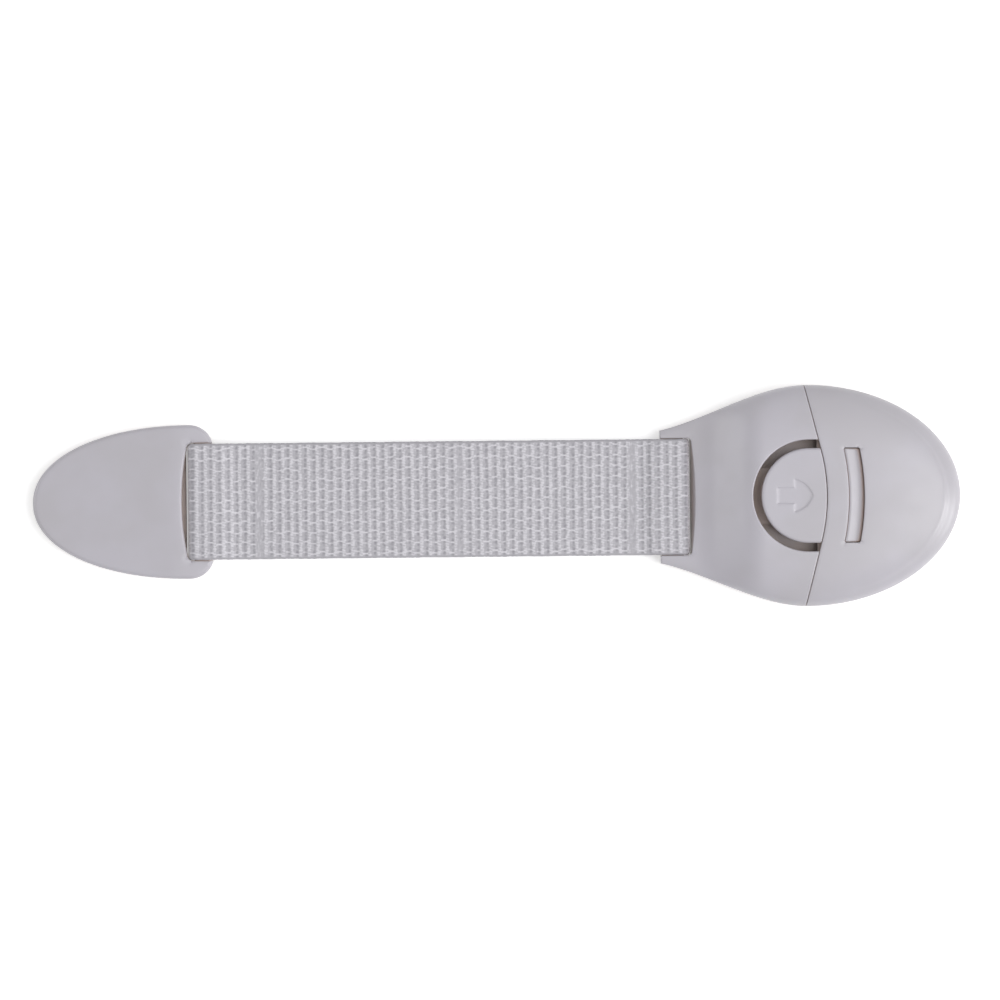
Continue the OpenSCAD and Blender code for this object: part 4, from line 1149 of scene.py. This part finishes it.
def weavePiece(name, slabs, nodes):
    verts = np.vstack([data["co"] for data, _ in slabs]) * mm
    faces, base = [], 0
    for data, slabFaces in slabs:
        faces += [[i + base for i in f] for f in slabFaces]
        base += len(data["co"])
    mesh = bpy.data.meshes.new(name)
    mesh.from_pydata(verts.tolist(), [], faces)
    whole = {}
    for key in ("along", "across", "weld", "lift"):
        whole[key] = values = np.concatenate([data[key] for data, _ in slabs])
        kind, part = ("FLOAT_VECTOR", "vector") if key == "lift" else ("FLOAT", "value")
        mesh.attributes.new(key, kind, "POINT").data.foreach_set(part, values.astype(np.float32).ravel())
    corner = np.zeros(len(mesh.loops), np.int32)
    mesh.loops.foreach_get("vertex_index", corner)
    uv = np.column_stack([whole["along"], whole["across"]])[corner]
    mesh.uv_layers.new(name="weave").data.foreach_set("uv", uv.astype(np.float32).ravel())
    obj = addObject(name, mesh)
    modifier = obj.modifiers.new("weave", "NODES")
    modifier.node_group = weaveNodes
    given = {**weave, "Material": wovenCloth}
    for item in weaveNodes.interface.items_tree:
        if item.in_out == "INPUT" and item.name in given:
            modifier[item.identifier] = given[item.name]
    bpy.context.view_layer.update()
    made = bpy.data.meshes.new_from_object(obj.evaluated_get(bpy.context.evaluated_depsgraph_get()))
    obj.modifiers.remove(modifier)
    obj.data = made
    made.name = name
    made.polygons.foreach_set("use_smooth", [True] * len(made.polygons))
    bm = bmesh.new()
    bm.from_mesh(made)
    bmesh.ops.recalc_face_normals(bm, faces=bm.faces[:])
    for cap in [f for f in bm.faces if len(f.verts) > 4]:
        cap.smooth = False
        for e in cap.edges:
            e.smooth = False
    bm.to_mesh(made)
    bm.free()
    for key in whole:
        if key in made.attributes:
            made.attributes.remove(made.attributes[key])
    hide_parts(*nodes)
    print(f"{name}: {len(made.polygons)} faces")
    return obj


def addStrap():
    bends = np.linspace(strap["firstBend"], strap["lastBend"], strap["bends"])
    mids = (bends[:-1] + bends[1:]) / 2
    last, span, z = len(bends) - 1, strap["bendHalf"] * mm, strap["midZ"] * mm
    for i, x in enumerate(bends):
        a, b = f"strap_{i + 1}", f"strap_{i}"
        if i == 0:
            slabs = [strapSlab(runAt(mids[0], True), loopLen + runAt(mids[0], False))]
            nodes, b = ["strap_pad_loop", "strap_section_1"], "pad"
        elif i == last:
            slabs = [strapSlab(runAt(mids[-1], False), runAt(mids[-1], True))]
            nodes, a = ["strap_latch_loop"], "latch"
        else:
            slabs = [strapSlab(runAt(mids[i - 1], False), runAt(mids[i], False)),
                     strapSlab(runAt(mids[i], True), runAt(mids[i - 1], True))]
            nodes = [f"strap_section_{i + 1}"]
        obj = weavePiece(f"webbing_{i + 1}", slabs, nodes)
        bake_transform(obj)


addStrap()
print("webbing woven")

# the hidden pieces keep their CAD shape
for nodeName, finish in (("base_plate", whitePlastic), ("latch_plate", whitePlastic),
                         ("base_foam_tape", foamCells), ("pad_foam_tape", foamCells),
                         ("base_tape_liner", paperLiner), ("pad_tape_liner", paperLiner)):
    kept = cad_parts[nodeName]
    kept.data.materials.clear()
    kept.data.materials.append(finish)

# each lamp is its name, place, target, size and power
stage = {"size": 6.0, "below": 0.0001, "pale": (0.80, 0.82), "world": 0.42, "floorGlow": 0.42,
         "lamps": (("keyLight", (0.68, -0.08, 1.34), (0.05, 0, 0), 0.85, 9.2),
                   ("sideLight", (1.35, -0.35, 0.50), (0.05, 0, 0), 0.6, 8.3),
                   ("fillLight", (-1.35, 0.25, 0.5), (0, 0, 0), 0.8, 4.2))}


def seenBy(tree, *rays):
    # 1 for the kinds of ray that are named, 0 for all others
    path = addNode(tree, "ShaderNodeLightPath").outputs
    found = path[rays[0]]
    for ray in rays[1:]:
        found = calc(tree, "MAXIMUM", found, path[ray])
    return found


def addFloor():
    h = stage["size"] / 2
    mesh = bpy.data.meshes.new("paleFloor")
    mesh.from_pydata([(-h, -h, 0), (h, -h, 0), (h, h, 0), (-h, h, 0)], [], [(0, 1, 2, 3)])
    floor = addObject("paleFloor", mesh)
    floor.location = (0, 0, -stage["below"])
    material, tree, shader, place = newMaterial("paleFloor")
    seen = seenBy(tree, "Is Camera Ray", "Is Glossy Ray", "Is Transmission Ray")
    low, high = ((v, v, v, 1) for v in stage["pale"])
    shade = mixColour(tree, ramp(tree, noise(tree, place, 3.0), 0.3, 0.7), low, high)
    feedAll(tree, shader, {"Base Color": mixColour(tree, seen, shade, (1, 1, 1, 1)), "Roughness": 0.9,
                           "Specular IOR Level": 0.0, "Emission Color": (1, 1, 1, 1),
                           "Emission Strength": calc(tree, "MULTIPLY", seen, stage["floorGlow"])})
    mesh.materials.append(material)


def addLight():
    world = bpy.data.worlds.new("softRoom")
    scene.world = world
    world.use_nodes = True
    tree = world.node_tree
    seen = seenBy(tree, "Is Camera Ray", "Is Transmission Ray")
    bright = calc(tree, "MULTIPLY_ADD", seen, 1 - stage["world"], stage["world"])
    feedAll(tree, tree.nodes["Background"], {"Color": (1, 1, 1, 1), "Strength": bright})
    for name, place, target, size, power in stage["lamps"]:
        data = bpy.data.lights.new(name, "AREA")
        data.shape, data.size, data.energy = "SQUARE", size, power
        lamp = addObject(name, data)
        lamp.location = place
        lamp.rotation_euler = (Vector(target) - Vector(place)).to_track_quat("-Z", "Y").to_euler()


addFloor()
addLight()
scene.view_settings.view_transform = "Standard"
print("stage set")
